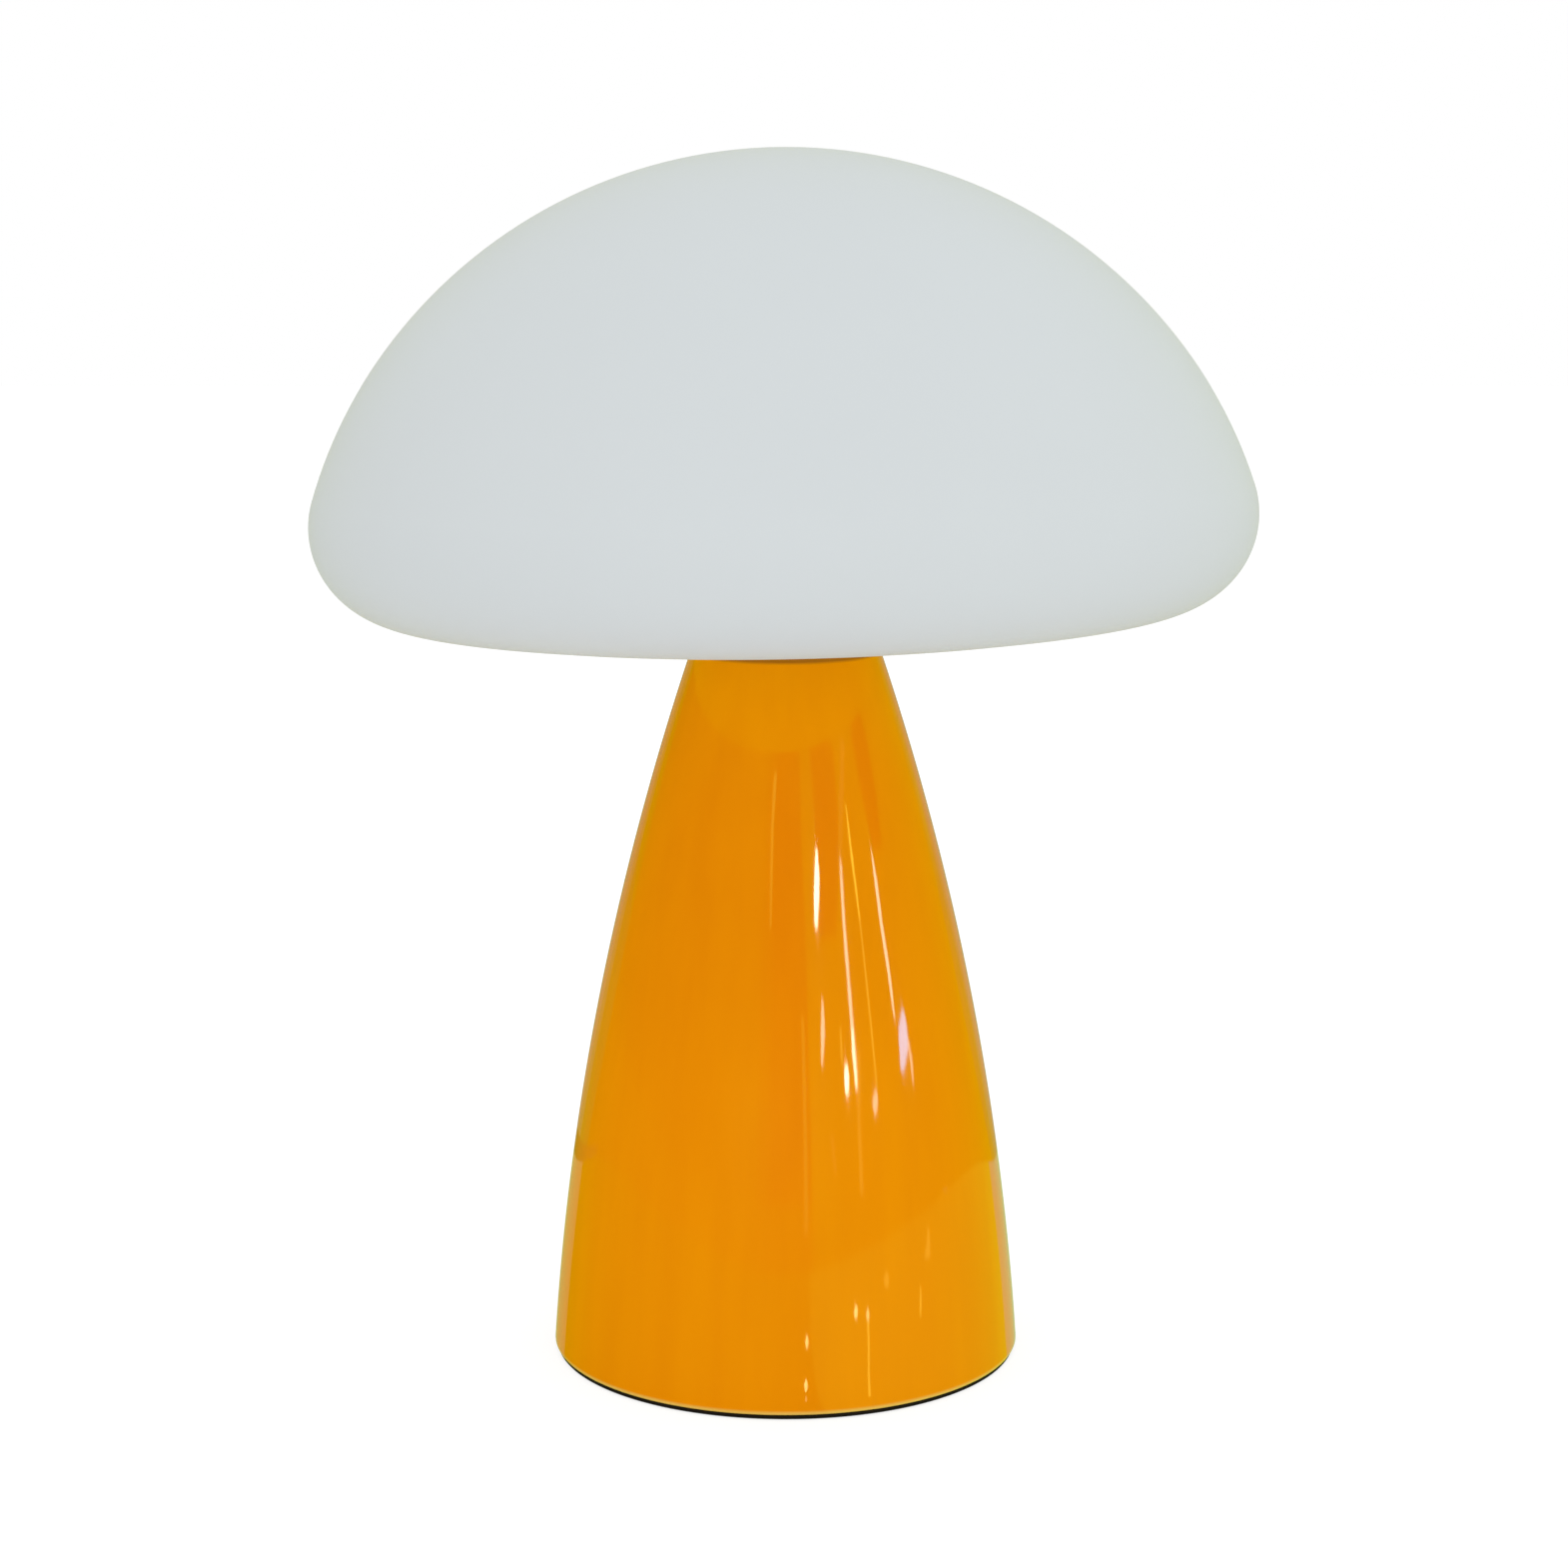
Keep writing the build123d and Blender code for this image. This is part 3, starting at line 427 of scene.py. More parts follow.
# Body: one long arc from the foot to the lip, as thick as the real wall
body_low, body_high = (corner.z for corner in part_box("ceramic_body"))
FOOT_RADIUS = 66.2 * MM
LIP_RADIUS = 24.9 * MM
BULGE_RADIUS = 795 * MM
BODY_WALL = 5.5 * MM
REBATE_HEIGHT = 2.0 * MM
REBATE_WIDTH = 2.0 * MM
FOOT_ROUND = 0.9 * MM
LIP_ROUND = 1.2 * MM
BODY_SEGMENTS = 384
BODY_ROWS = 84
INNER_ROWS = 24


def bulge_centre():
    chord = Vector((LIP_RADIUS - FOOT_RADIUS, body_high - body_low))
    depth = math.sqrt(BULGE_RADIUS**2 - (chord.length / 2) ** 2)
    out = Vector((chord.y, -chord.x)).normalized()
    return Vector((FOOT_RADIUS, body_low)) + chord / 2 - out * depth


BULGE = bulge_centre()


def body_radius(height, inset=0.0):
    return BULGE.x + math.sqrt((BULGE_RADIUS - inset) ** 2 - (height - BULGE.y) ** 2)


def body_outline():
    heights = [body_low + (body_high - body_low) * i / BODY_ROWS for i in range(BODY_ROWS + 1)]
    shoulder = body_low + REBATE_HEIGHT
    rebate = body_radius(shoulder, BODY_WALL) + REBATE_WIDTH
    corners = [(body_radius(heights[0]), heights[0], FOOT_ROUND)]
    corners += [(body_radius(h), h, 0) for h in heights[1:-1]]
    corners += [(body_radius(body_high), body_high, LIP_ROUND)]
    corners += [(body_radius(body_high, BODY_WALL), body_high, LIP_ROUND)]
    inner = [body_high - (body_high - shoulder) * i / INNER_ROWS for i in range(1, INNER_ROWS + 1)]
    corners += [(body_radius(h, BODY_WALL), h, 0) for h in inner]
    corners += [(rebate, shoulder, 0), (rebate, body_low, 0)]
    return rounded(corners)


# Waves in the glaze: size in mm, scale around the lamp, scale along its height, place in the noise
WAVES = (
    (0.10, 3.2, 9, (0, 0)),
    (0.035, 9.0, 14, (5, 0)),
    (0.007, 24.0, 22, (0, 7)),
)
WAVES_FADE = 6 * MM


def glaze_waves(angle, height):
    """How far the glaze stands out at a place: long soft upright waves, as a slip-cast wall has."""
    around = Vector((math.sin(angle), -math.cos(angle), 0))
    total = 0
    for size, turn_scale, rise_scale, place in WAVES:
        total += size * noise.noise(around * turn_scale + Vector((*place, height * rise_scale)))
    edge = min(1, (height - body_low) / WAVES_FADE, (body_high - height) / WAVES_FADE)
    return max(0, edge) * total * MM


def body_skin(angle, height):
    return body_radius(height) + glaze_waves(angle, height)


# How near a point has to be to count as outer skin, how far from the rims, and the step of its normals
SKIN_DEPTH = 0.05 * MM
SKIN_MATCH = 0.02 * MM
SKIN_MARGIN = 2 * MM
NORMAL_STEP = 0.4 * MM


def warp_body(angle, radius, height):
    outside = radius > body_radius(height) - SKIN_DEPTH
    return radius + glaze_waves(angle, height) if outside else radius


def skin_normal(x, y, z):
    """The exact normal of the waved skin at a point on it."""
    angle = math.atan2(x, -y)
    turn = NORMAL_STEP / FOOT_RADIUS

    def point(a, h):
        r = body_skin(a, h)
        return Vector((r * math.sin(a), -r * math.cos(a), h))

    low = max(z - NORMAL_STEP, body_low)
    high = min(z + NORMAL_STEP, body_high)
    along = point(angle + turn, z) - point(angle - turn, z)
    upward = point(angle, high) - point(angle, low)
    return along.cross(upward).normalized()


def on_skin(point):
    if not body_low + SKIN_MARGIN < point.z < body_high - SKIN_MARGIN:
        return False
    skin = body_skin(math.atan2(point.x, -point.y), point.z)
    return abs(math.hypot(point.x, point.y) - skin) < SKIN_MATCH


# The cord bush's hole and the round flat seat of its flange
BUSH_HOLE_RADIUS = 5.5 * MM
BUSH_SEAT_DEPTH = 1.8 * MM
BUSH_SEAT_GAP = 0.2 * MM
CUT_OVERRUN = 4 * MM
CUT_SEGMENTS = 96


def cut_cord_entry(body):
    """Cuts the bush's hole and its seat into the back wall, and keeps the skin smooth around them."""
    low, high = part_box("cord_bush")
    middle = (low + high) / 2
    hole = (BUSH_HOLE_RADIUS, low.y - CUT_OVERRUN, high.y)
    seat = (high.x + BUSH_SEAT_GAP, high.y - BUSH_SEAT_DEPTH, high.y + CUT_OVERRUN)
    for radius, start, end in (hole, seat):
        bm = bmesh.new()
        bmesh.ops.create_cone(
            bm, cap_ends=True, segments=CUT_SEGMENTS, radius1=radius, radius2=radius, depth=end - start
        )
        mesh = bpy.data.meshes.new("cutter")
        bm.to_mesh(mesh)
        bm.free()
        cutter = bpy.data.objects.new("cutter", mesh)
        cutter.location = (0, (start + end) / 2, middle.z)
        cutter.rotation_euler = (math.pi / 2, 0, 0)
        bpy.context.scene.collection.objects.link(cutter)
        modifier = body.modifiers.new("hole", "BOOLEAN")
        modifier.operation = "DIFFERENCE"
        modifier.solver = "EXACT"
        modifier.object = cutter
        bpy.context.view_layer.update()
        ready = body.evaluated_get(bpy.context.evaluated_depsgraph_get())
        cut = bpy.data.meshes.new_from_object(ready)
        body.modifiers.clear()
        body.data = cut
        bpy.data.objects.remove(cutter)
    mesh = body.data
    ring_normals(mesh, SHARP_DEGREES)
    normals = [(0.0, 0.0, 0.0)] * len(mesh.loops)
    for face in mesh.polygons:
        corners = [mesh.vertices[v].co for v in face.vertices]
        if all(on_skin(c) for c in corners):
            for loop, c in zip(face.loop_indices, corners):
                normals[loop] = tuple(skin_normal(*c))
    mesh.normals_split_custom_set(normals)


def make_body():
    body = revolve("glazed_body", body_outline(), BODY_SEGMENTS, warp=warp_body)
    cut_cord_entry(body)
    finish_piece(body, "glaze_orange", "lamp_base", "ceramic_body")


make_body()

# Foot pad: a foam ring whose edges bulge a little under the lamp's weight
PAD_HOLE = 28.5 * MM
PAD_BULGE = 0.9 * MM
PAD_ARC_STEPS = 8
PAD_SEGMENTS = 256
PAD_SHARP_DEGREES = 50


def make_pad():
    low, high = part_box("foot_pad")
    middle = (low.z + high.z) / 2
    half = (high.z - low.z) / 2
    turns = [math.pi * (i / PAD_ARC_STEPS - 0.5) for i in range(PAD_ARC_STEPS + 1)]
    outer = [(high.x + PAD_BULGE * math.cos(t), middle + half * math.sin(t)) for t in turns]
    inner = [(PAD_HOLE - PAD_BULGE * math.cos(t), middle - half * math.sin(t)) for t in turns]
    pad = revolve("foam_pad", outer + inner, PAD_SEGMENTS, sharp=PAD_SHARP_DEGREES)
    finish_piece(pad, "foam_black", "lamp_base", "foot_pad")


make_pad()

# Shade: four tangent arcs from the crown to the flat seat
SHADE_WALL = 3.0 * MM
SHADE_HOLE = 22.5 * MM
SHADE_HOLE_ROUND = 0.8 * MM
# Each arc's radius and the degrees it sweeps
SHADE_ARCS = ((136.65 * MM, 52.0), (128.8 * MM, 20.1), (25.7 * MM, 98.25), (328.0 * MM, 9.65))
SHADE_FLAT_RINGS = (45 * MM, 35 * MM)
SHADE_SEGMENTS = 288
SHADE_STEP_DEGREES = 1.6
SHADE_LEAN = math.radians(1.1)


def shade_chain(seat):
    """The arcs' centres, worked up from the flat seat. Gives (centre, radius, start angle, sweep)."""
    heading = 90.0
    starts = []
    for _, sweep in SHADE_ARCS:
        starts.append(heading)
        heading -= sweep
    offsets = [Vector((0, 0))]
    for i in range(1, len(SHADE_ARCS)):
        step = SHADE_ARCS[i - 1][0] - SHADE_ARCS[i][0]
        turn = math.radians(starts[i])
        offsets.append(offsets[-1] + Vector((math.cos(turn), math.sin(turn))) * step)
    lift = seat + SHADE_ARCS[-1][0] - offsets[-1].y
    return [
        (Vector((o.x, o.y + lift)), radius, start, sweep)
        for o, (radius, sweep), start in zip(offsets, SHADE_ARCS, starts)
    ]


def shade_outline():
    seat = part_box("shade")[0].z
    chain = shade_chain(seat)
    skins = []
    for inset in (0, SHADE_WALL):
        skin = []
        for centre, radius, start, sweep in chain:
            steps = round(sweep / SHADE_STEP_DEGREES)
            skin += arc(centre, radius - inset, start, -sweep, steps)[0 if not skin else 1:]
        skins.append(skin)
    outer, inner = skins
    floor = seat + SHADE_WALL
    corners = [(0, outer[0][1], 0)] + [(r, z, 0) for r, z in outer[1:]]
    corners += [(r, seat, 0) for r in SHADE_FLAT_RINGS]
    corners += [(SHADE_HOLE, seat, SHADE_HOLE_ROUND), (SHADE_HOLE, floor, SHADE_HOLE_ROUND)]
    corners += [(r, floor, 0) for r in reversed(SHADE_FLAT_RINGS)]
    corners += [(r, z, 0) for r, z in reversed(inner[1:])] + [(0, inner[0][1], 0)]
    return rounded(corners)


def leaning_shade(name):
    """The shade lies loose on its gasket and leans a touch to the left, as photographed."""
    shade = revolve(name, shade_outline(), SHADE_SEGMENTS, closed=False)
    seat = Vector((0, 0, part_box("shade")[0].z))
    lean = Matrix.Translation(seat) @ Matrix.Rotation(-SHADE_LEAN, 4, "Y") @ Matrix.Translation(-seat)
    shade.data.transform(lean)
    return shade


def make_shade():
    """The shade itself is hidden from mirrors, where a stage card of the same form stands for it."""
    shade = leaning_shade("opal_shade")
    shade.visible_glossy = False
    finish_piece(shade, "opal_glass", "shade", "shade")


make_shade()

# Lampholder skirt with upright grip ribs
SKIRT_RIBS = 40
SKIRT_RIB_DEPTH = 0.35 * MM
SKIRT_BORE = 12.65 * MM
SKIRT_THROAT = 10.6 * MM
SKIRT_MOUTH = 8.4 * MM
SKIRT_LIP = 1.5 * MM
SKIRT_SHOULDER = 4.5 * MM
SKIRT_BARE_LOW = 3.0 * MM
SKIRT_BARE_HIGH = 3.2 * MM
SKIRT_ROWS = 12
SKIRT_SHARP_DEGREES = 30
POINTS_PER_RIB = 8


def make_skirt():
    low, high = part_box("holder_skirt")
    outer = high.x
    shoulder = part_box("holder_core")[0].z + SKIRT_SHOULDER
    lip = high.z - SKIRT_LIP
    grip_low = low.z + SKIRT_BARE_LOW
    grip_high = high.z - SKIRT_BARE_HIGH
    corners = [(SKIRT_BORE, low.z, 0.2 * MM), (outer, low.z, 0.3 * MM)]
    for i in range(SKIRT_ROWS + 1):
        corners.append((outer, grip_low + (grip_high - grip_low) * i / SKIRT_ROWS, 0))
    corners += [
        (outer, high.z, 1.2 * MM),
        (SKIRT_MOUTH, high.z, 0.3 * MM),
        (SKIRT_MOUTH, lip, 0),
        (SKIRT_THROAT, lip, 0),
        (SKIRT_THROAT, shoulder, 0),
        (SKIRT_BORE, shoulder, 0),
    ]

    def ribs(angle, radius, height):
        if radius < outer - ON_OUTSIDE or not grip_low < height < grip_high:
            return radius
        return radius - SKIRT_RIB_DEPTH * (0.5 - 0.5 * math.cos(angle * SKIRT_RIBS)) ** 2

    segments = SKIRT_RIBS * POINTS_PER_RIB
    skirt = revolve("ribbed_skirt", rounded(corners), segments, warp=ribs, sharp=SKIRT_SHARP_DEGREES)
    finish_piece(skirt, "plastic_white", "lamp_base", "holder_skirt")


make_skirt()

# Candle bulb
THREAD_PITCH = 2.822 * MM
THREAD_DEPTH = 0.5 * MM
CAP_WALL = 0.35 * MM
CAP_PLAIN_BAND = 2.2 * MM
CAP_ROWS = 96
CAP_SEGMENTS = 144
CAP_SHARP_DEGREES = 50


def make_cap():
    """The threaded cap: its skin follows a right-hand helix."""
    low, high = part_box("bulb_cap")
    outer = high.x
    outside = [(outer, low.z + (high.z - low.z) * i / CAP_ROWS) for i in range(CAP_ROWS + 1)]
    inside = [(outer - THREAD_DEPTH - CAP_WALL, z) for z in (high.z, low.z + CAP_WALL)]
    outline = [(0, low.z)] + outside + inside + [(0, low.z + CAP_WALL)]

    def helix(angle, radius, height):
        if radius < outer - ON_OUTSIDE:
            return radius
        below_band = (high.z - CAP_PLAIN_BAND - height) / MM
        fade = min(1, max(0, below_band), max(0, (height - low.z) / MM))
        phase = 2 * math.pi * (height - low.z) / THREAD_PITCH - angle
        return radius - THREAD_DEPTH * fade * (0.5 - 0.5 * math.cos(phase))

    cap = revolve(
        "threaded_cap", outline, CAP_SEGMENTS, closed=False, warp=helix, sharp=CAP_SHARP_DEGREES
    )
    finish_piece(cap, "nickel", "bulb", "bulb_cap")


GLOBE_RADIUS = 17.5 * MM
GLOBE_FOOT_HEIGHT = 14.0 * MM
BELLY_RADIUS = 35.2 * MM
TAPER_RADIUS = 44.9 * MM
TIP_OFFSET = 2.5 * MM
GLOBE_WALL = 1.2 * MM
GLOBE_SEGMENTS = 128
BELLY_STEPS = 12
TAPER_STEPS = 28
TIP_STEPS = 8


def globe_outline():
    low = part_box("bulb_globe")[0].z
    belly = low + GLOBE_FOOT_HEIGHT
    belly_centre = (GLOBE_RADIUS - BELLY_RADIUS, belly)
    taper_centre = (GLOBE_RADIUS - TAPER_RADIUS, belly)
    turn = math.degrees(math.acos((TIP_OFFSET - taper_centre[0]) / TAPER_RADIUS))
    tip_radius = TIP_OFFSET / math.cos(math.radians(turn))
    rise = TAPER_RADIUS - tip_radius
    tip_centre = (0, belly + rise * math.sin(math.radians(turn)))
    skins = []
    for inset in (0, GLOBE_WALL):
        start = -math.degrees(math.asin(GLOBE_FOOT_HEIGHT / (BELLY_RADIUS - inset)))
        skin = arc(belly_centre, BELLY_RADIUS - inset, start, -start, BELLY_STEPS)
        skin += arc(taper_centre, TAPER_RADIUS - inset, 0, turn, TAPER_STEPS)[1:]
        skin += arc(tip_centre, tip_radius - inset, turn, 90 - turn, TIP_STEPS)[1:-1]
        skin += [(0, tip_centre[1] + tip_radius - inset)]
        skins.append(skin)
    return skins[0] + list(reversed(skins[1]))


def make_globe():
    globe = revolve("opal_globe", globe_outline(), GLOBE_SEGMENTS)
    finish_piece(globe, "bulb_opal", "bulb", "bulb_globe")


make_cap()
make_globe()


# Stage: a white floor that keeps the shadow, and a white surround
def light_path_sum(tree):
    """1 for camera, glossy and transmission rays, 0 for the rays that light things."""
    path = tree.nodes.new("ShaderNodeLightPath")
    total = path.outputs["Is Camera Ray"]
    for name in ("Is Glossy Ray", "Is Transmission Ray"):
        add = tree.nodes.new("ShaderNodeMath")
        add.operation = "MAXIMUM"
        tree.links.new(total, add.inputs[0])
        tree.links.new(path.outputs[name], add.inputs[1])
        total = add.outputs[0]
    return total


FLOOR_ALBEDO_SEEN = 0.30
FLOOR_GLOW = 0.80
FLOOR_ALBEDO = 0.95
FLOOR_SIZE = 12.0


def make_floor():
    """White to the camera and in mirrors, apart from the lamp's shadow, and brighter as a light."""
    bpy.ops.mesh.primitive_plane_add(size=FLOOR_SIZE, location=(0, 0, 0))
    floor = bpy.context.object
    floor.name = "floor"
    material = bpy.data.materials.new("floor")
    material.use_nodes = True
    tree = material.node_tree
    tree.nodes.clear()
    output = tree.nodes.new("ShaderNodeOutputMaterial")
    lit = tree.nodes.new("ShaderNodeBsdfDiffuse")
    lit.inputs["Color"].default_value = (FLOOR_ALBEDO,) * 3 + (1,)
    seen = tree.nodes.new("ShaderNodeBsdfDiffuse")
    seen.inputs["Color"].default_value = (FLOOR_ALBEDO_SEEN,) * 3 + (1,)
    glow = tree.nodes.new("ShaderNodeEmission")
    glow.inputs["Strength"].default_value = FLOOR_GLOW
    both = tree.nodes.new("ShaderNodeAddShader")
    tree.links.new(seen.outputs[0], both.inputs[0])
    tree.links.new(glow.outputs[0], both.inputs[1])
    mix = tree.nodes.new("ShaderNodeMixShader")
    tree.links.new(light_path_sum(tree), mix.inputs[0])
    tree.links.new(lit.outputs[0], mix.inputs[1])
    tree.links.new(both.outputs[0], mix.inputs[2])
    tree.links.new(mix.outputs[0], output.inputs[0])
    floor.data.materials.append(material)


AMBIENT_LEFT = (0.85, 0.84, 0.84)
AMBIENT_RIGHT = (0.92, 0.93, 0.935)
AMBIENT_TOP = (0.94, 0.985, 0.985)
WHITE = (1, 1, 1)


def make_world():
    """White to the camera and in mirrors. As a light it is fresher from the right and from above."""
    world = bpy.data.worlds.new("surround")
    bpy.context.scene.world = world
    world.use_nodes = True
    where = add_node(world, "ShaderNodeTexCoord")
    split = add_node(world, "ShaderNodeSeparateXYZ")
    link(world, where.outputs["Generated"], split.inputs[0])
    across = map_range(world, split.outputs["X"], -1, 1, 0, 1)
    level = mix_colour(world, across, AMBIENT_LEFT, AMBIENT_RIGHT)
    ambient = mix_colour(world, split.outputs["Z"], level, AMBIENT_TOP)
    seen = mix_colour(world, light_path_sum(world.node_tree), ambient, WHITE)
    link(world, seen, world.node_tree.nodes["Background"].inputs["Color"])


LIGHTS_AIM = Vector((0, 0, 0.2))


def area_light(name, location, size, power, colour):
    """A soft lamp that lights the object and shows in no mirror."""
    data = bpy.data.lights.new(name, "AREA")
    data.shape = "RECTANGLE"
    data.size, data.size_y = size
    data.energy = power
    data.color = colour
    lamp = bpy.data.objects.new(name, data)
    lamp.location = location
    lamp.rotation_mode = "QUATERNION"
    lamp.rotation_quaternion = (LIGHTS_AIM - lamp.location).to_track_quat("-Z", "Y")
    lamp.visible_glossy = False
    bpy.context.scene.collection.objects.link(lamp)


# What the glaze mirrors: a wooden table, the dim warm room beyond its edge, and slits of daylight.
# Azimuths are in degrees, 0 in front of the lamp and rising to the right. Lengths are in metres.
ROOM_RADIUS = 4.0
ROOM_HEIGHT = 3.2
ROOM = (
    # start, end, wall, floor beyond the table
    (-180, -150, (0.44, 0.46, 0.15), (0.42, 0.42, 0.17)),
    (-150, -143, (0.33, 0.48, 0.07), (0.30, 0.44, 0.10)),
    (-143, -130, (0.25, 0.50, 0.00), (0.25, 0.43, 0.02)),
    (-130, -14, (0.42, 0.36, 0.00), (0.40, 0.38, 0.00)),
    (-14, -9, (0.41, 0.22, 0.00), (0.40, 0.34, 0.00)),
    (-9, 13, (0.40, 0.06, 0.00), (0.40, 0.30, 0.00)),
    (13, 136, (0.52, 0.64, 0.00), (0.48, 0.60, 0.00)),
    (136, 144, (0.30, 0.60, 0.03), (0.28, 0.50, 0.04)),
    (144, 150, (0.34, 0.54, 0.10), (0.32, 0.48, 0.12)),
    (150, 180, (0.44, 0.49, 0.20), (0.42, 0.46, 0.22)),
)
TABLE = (
    # name, start, end, colour
    ("table_left", -180, 10, (0.33, 0.46, 0.00)),
    ("table_right", 10, 180, (0.60, 0.88, 0.02)),
)
TABLE_LEFT = -0.68
TABLE_RIGHT = 0.59
TABLE_FRONT = -0.53
TABLE_BACK = 0.205
TABLE_ROUND = 0.35
TABLE_HEIGHT = 0.5 * MM

# The dark gap along the table's far edge (start, end, width, colour), and the paler stretch of table
# behind the lamp (name, side, colour)
GAP = (-152, -116, 0.045, (0.20, 0.28, 0.02))
BEHIND = (("behind_left", -1, (0.47, 0.56, 0.17)), ("behind_right", 1, (0.44, 0.71, 0.32)))
BEHIND_FRONT = -0.02
BEHIND_HALF_WIDTH = 0.079
BEHIND_SPREAD = 0.76
LAYER = 0.1 * MM

# The glaze is so saturated that the shade's mirror image loses its blue
SHADE_IMAGE = (0.72, 0.72, 0.0)


def glow_material(name, colour):
    material = bpy.data.materials.new(name)
    material.use_nodes = True
    tree = material.node_tree
    tree.nodes.clear()
    output = tree.nodes.new("ShaderNodeOutputMaterial")
    glow = tree.nodes.new("ShaderNodeEmission")
    brightest = max(colour)
    glow.inputs["Color"].default_value = (*(c / brightest for c in colour), 1)
    glow.inputs["Strength"].default_value = brightest
    tree.links.new(glow.outputs[0], output.inputs[0])
    return material


def stage_card(card, colour):
    """Makes an object a card of the stage, seen in reflections and by nothing else."""
    card.data.materials.append(glow_material(card.name, colour))
    card.visible_camera = False
    card.visible_diffuse = False
    card.visible_transmission = False
    card.visible_shadow = False


def mirrored_band(name, edges, colour):
    """A stage card between two edges, which are given as pairs of points."""
    mesh = bpy.data.meshes.new(name)
    points = [point for pair in edges for point in pair]
    faces = [(2 * i, 2 * i + 1, 2 * i + 3, 2 * i + 2) for i in range(len(edges) - 1)]
    mesh.from_pydata(points, [], faces)
    card = bpy.data.objects.new(name, mesh)
    bpy.context.scene.collection.objects.link(card)
    stage_card(card, colour)


BEARING_STEP = 3
BEARING_LEAST_STEPS = 4


def bearings(start, end):
    """Unit directions around the lamp from one azimuth to another."""
    steps = max(BEARING_LEAST_STEPS, round((end - start) / BEARING_STEP))
    angles = [math.radians(start + (end - start) * i / steps) for i in range(steps + 1)]
    return [(math.sin(angle), -math.cos(angle)) for angle in angles]


def table_reach(x, y):
    """Distance from the lamp to the table's rounded edge along the unit direction (x, y)."""
    side = TABLE_RIGHT if x > 0 else TABLE_LEFT
    end = TABLE_BACK if y > 0 else TABLE_FRONT
    reach = min(side / x if x else math.inf, end / y if y else math.inf)
    corner = Vector((side - math.copysign(TABLE_ROUND, side), end - math.copysign(TABLE_ROUND, end)))
    across = Vector((x, y))
    past = across * reach - corner
    if past.x * x > 0 and past.y * y > 0:
        along = corner.dot(across)
        reach = along + math.sqrt(TABLE_ROUND**2 - corner.length_squared + along**2)
    return reach


def make_room():
    for start, end, wall, beyond in ROOM:
        directions = bearings(start, end)
        ring = [(ROOM_RADIUS * x, ROOM_RADIUS * y) for x, y in directions]
        mirrored_band(f"wall_{start}", [((x, y, 0), (x, y, ROOM_HEIGHT)) for x, y in ring], wall)
        edges = []
        for (x, y), outer in zip(directions, ring):
            reach = table_reach(x, y)
            edges.append(((reach * x, reach * y, TABLE_HEIGHT), (*outer, TABLE_HEIGHT)))
        mirrored_band(f"beyond_{start}", edges, beyond)


def make_table():
    for name, start, end, colour in TABLE:
        edges = []
        for x, y in bearings(start, end):
            reach = table_reach(x, y)
            edges.append(((0, 0, TABLE_HEIGHT), (reach * x, reach * y, TABLE_HEIGHT)))
        mirrored_band(name, edges, colour)
    height = TABLE_HEIGHT + LAYER
    start, end, width, colour = GAP
    edges = []
    for x, y in bearings(start, end):
        near = table_reach(x, y)
        far = near + width
        edges.append(((near * x, near * y, height), (far * x, far * y, height)))
    mirrored_band("table_gap", edges, colour)
    for name, side, colour in BEHIND:
        edges = []
        for y in (BEHIND_FRONT, TABLE_BACK):
            half = BEHIND_HALF_WIDTH + BEHIND_SPREAD * y
            edges.append(((0, y, height), (side * half, y, height)))
        mirrored_band(name, edges, colour)


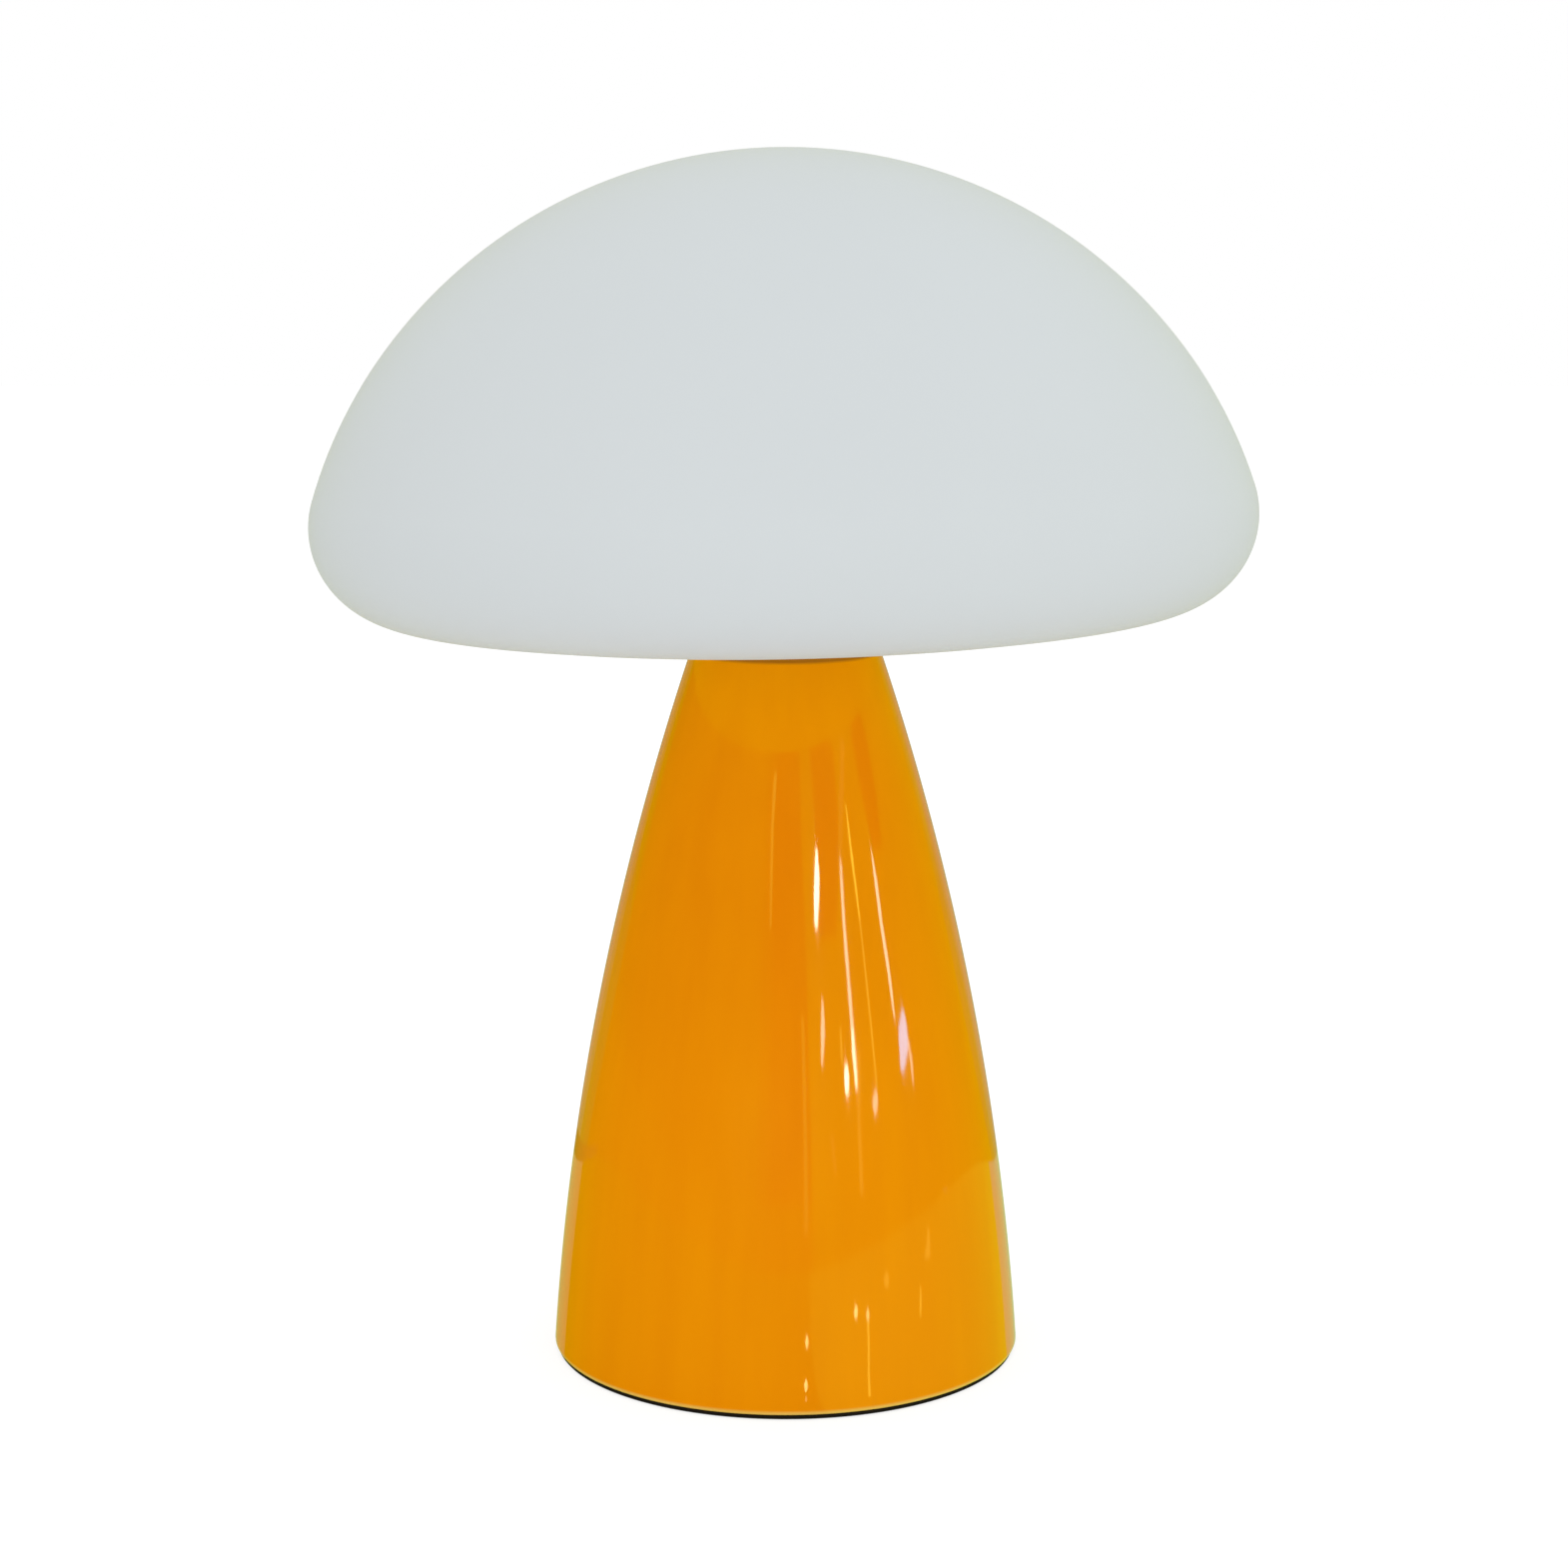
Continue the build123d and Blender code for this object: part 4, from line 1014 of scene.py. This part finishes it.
# Each strip is given by where its image runs on the body: stations of azimuth, height and width, in
# degrees and mm. A slit has its name, colour and strength before them.
DAYLIGHT = (1.0, 1.0, 0.75)
LAMPLIGHT = (1.0, 0.92, 0.08)
PALE = (1.0, 0.95, 0.35)
SKYLIGHT = (0.30, 0.80, 1.25)
SHADOW = (0.40, 0.05, 0.00)
STRIP_DISTANCE = 1.5
STRIP_CLEARANCE = 1.0 * MM
STRIP_STEP = 2
STRIP_LEAST_STEPS = 2
SHADOW_DISTANCE = 1.8
SLITS = (
    ("slit_a", DAYLIGHT, 18, ((11.6, 151, 0.5), (11.2, 144, 1.3), (10.6, 137, 1.3), (10.1, 131, 0.8))),
    ("slit_b", DAYLIGHT, 7, (
        (20.6, 148, 0.5), (20.1, 141, 0.7), (19.8, 130, 0.8), (19.8, 120, 0.8), (20, 104, 0.8)
    )),
    ("slit_b_end", DAYLIGHT, 13, ((20, 104, 0.8), (20, 97, 1.0), (20.1, 88, 0.5))),
    ("slit_b_top", LAMPLIGHT, 0.9, ((27.4, 179, 1.3), (23.3, 164, 1.3), (20.6, 149, 1.0))),
    ("slit_c", LAMPLIGHT, 6, ((25.2, 162, 0.3), (25.2, 152, 0.7), (25.4, 142, 0.6), (25.7, 133, 0.4))),
    ("slit_c_end", LAMPLIGHT, 3, ((25.7, 133, 0.4), (25.9, 122, 0.4), (26, 109, 0.5), (26.3, 88, 0.3))),
    ("slit_d", DAYLIGHT, 7, (
        (33.8, 150, 0.3), (33.9, 141, 0.9), (33.7, 132, 0.9), (34.3, 119, 0.9), (34.4, 105, 0.4)
    )),
    ("slit_e", SKYLIGHT, 7, ((37.8, 107, 0.8), (37, 102, 3.0), (36.6, 97, 3.0), (35.2, 91, 1.0))),
    ("slit_e_end", DAYLIGHT, 5, ((38.5, 99, 0.5), (38.8, 93, 0.7), (38.5, 87, 0.3))),
    ("slit_f", DAYLIGHT, 6, ((11.2, 112, 0.4), (11, 104, 1.1), (10.4, 95, 0.5))),
    ("slit_g", DAYLIGHT, 18, ((17.5, 94.5, 0.9), (17.4, 91, 1.4), (17.2, 87, 1.0))),
    ("slit_h", DAYLIGHT, 6, ((25.9, 87, 0.6), (25.4, 84, 1.6), (25.2, 81, 0.6))),
    ("slit_i", LAMPLIGHT, 1.6, ((-4.3, 171, 0.9), (-5.1, 157, 0.7), (-5, 144, 0.6), (-5, 131, 0.4))),
    ("slit_j", PALE, 8, ((5.1, 23.4, 0.3), (5.1, 21.6, 1.1), (5.1, 19.8, 0.3))),
    ("slit_k", PALE, 8, ((4.8, 11.4, 0.3), (4.8, 9.8, 1.0), (4.8, 8.0, 0.4))),
    ("slit_k_end", PALE, 3, ((4.8, 6.8, 0.4), (4.8, 5.4, 0.5))),
    ("slit_l", PALE, 9, ((17.3, 30.5, 0.5), (17.3, 28.9, 1.1), (17.1, 27.0, 0.6))),
    ("slit_m_top", PALE, 7, ((20.3, 29.5, 0.4), (20.2, 27.6, 0.9), (20.2, 26, 0.5))),
    ("slit_m", LAMPLIGHT, 4, ((20.2, 26, 0.5), (20.2, 18.8, 0.5), (20.0, 12.0, 0.5), (20.1, 5.4, 0.7))),
    ("slit_n", LAMPLIGHT, 0.9, ((5, 108, 0.9), (5.2, 94, 0.9), (5.3, 80, 1.0), (5.2, 50, 1.0))),
    ("slit_o", LAMPLIGHT, 3, ((16.4, 104, 0.4), (16.2, 95, 0.4))),
    ("slit_p", LAMPLIGHT, 3.5, ((35.3, 32.8, 0.3), (35, 28.5, 0.7), (34.7, 24.4, 0.4))),
    ("slit_q", LAMPLIGHT, 2.2, ((25.7, 38.6, 0.8), (25.6, 36.5, 1.7), (25.5, 34.3, 0.9))),
    ("slit_r", LAMPLIGHT, 2.0, ((39, 48, 0.6), (38.7, 44, 1.2), (37.9, 40, 2.4))),
    ("slit_s", LAMPLIGHT, 1.5, ((21.6, 98, 0.8), (20.3, 80, 1.0), (19.9, 60, 1.0))),
    ("slit_t", LAMPLIGHT, 1.0, ((12.4, 77, 0.7), (13.1, 66, 0.7))),
)
SHADOWS = (
    ("shadow_a", ((16.5, 178, 6.5), (16.5, 160, 6.5), (14.5, 140, 6.0), (14, 128, 4.0))),
    ("shadow_b", ((38, 188, 2.0), (37, 180, 5.0), (37, 164, 5.0), (37, 150, 3.0))),
)


def mirrored_point(azimuth, height, distance):
    """The point that the camera sees by way of the glaze at this place on the body."""
    angle = math.radians(azimuth)
    r = body_skin(angle, height)
    place = Vector((r * math.sin(angle), -r * math.cos(angle), height))
    normal = skin_normal(*place)
    look = (place - camera.location).normalized()
    onward = look - 2 * look.dot(normal) * normal
    if onward.z < 0:
        distance = min(distance, (place.z - STRIP_CLEARANCE) / -onward.z)
    return place + onward * distance


def mirrored_strip(name, colour, distance, stations):
    edges = []
    for low, high in zip(stations, stations[1:]):
        steps = max(STRIP_LEAST_STEPS, round(abs(high[1] - low[1]) / STRIP_STEP))
        for i in range(steps + 1):
            azimuth, height, width = (a + (b - a) * i / steps for a, b in zip(low, high))
            half = math.degrees(width * MM / 2 / body_radius(height * MM))
            sides = (azimuth - half, azimuth + half)
            edges.append(tuple(mirrored_point(side, height * MM, distance) for side in sides))
    mirrored_band(name, edges, colour)


def make_reflections():
    make_room()
    make_table()
    stage_card(leaning_shade("mirrored_shade"), SHADE_IMAGE)
    for name, colour, strength, stations in SLITS:
        mirrored_strip(name, [c * strength for c in colour], STRIP_DISTANCE, stations)
    for name, stations in SHADOWS:
        mirrored_strip(name, SHADOW, SHADOW_DISTANCE, stations)


LIGHTS = (
    # name, place, size, power in watts, colour
    ("key_light", (1.0, -1.7, 0.8), (1.6, 1.2), 1.6, (0.97, 1.0, 1.0)),
    ("low_light", (-0.1, -1.6, 0.15), (1.8, 0.25), 1.3, WHITE),
    ("top_light", (0, 0, 2.2), (1.6, 1.6), 2.5, WHITE),
)

make_floor()
make_world()
make_reflections()
for light in LIGHTS:
    area_light(*light)
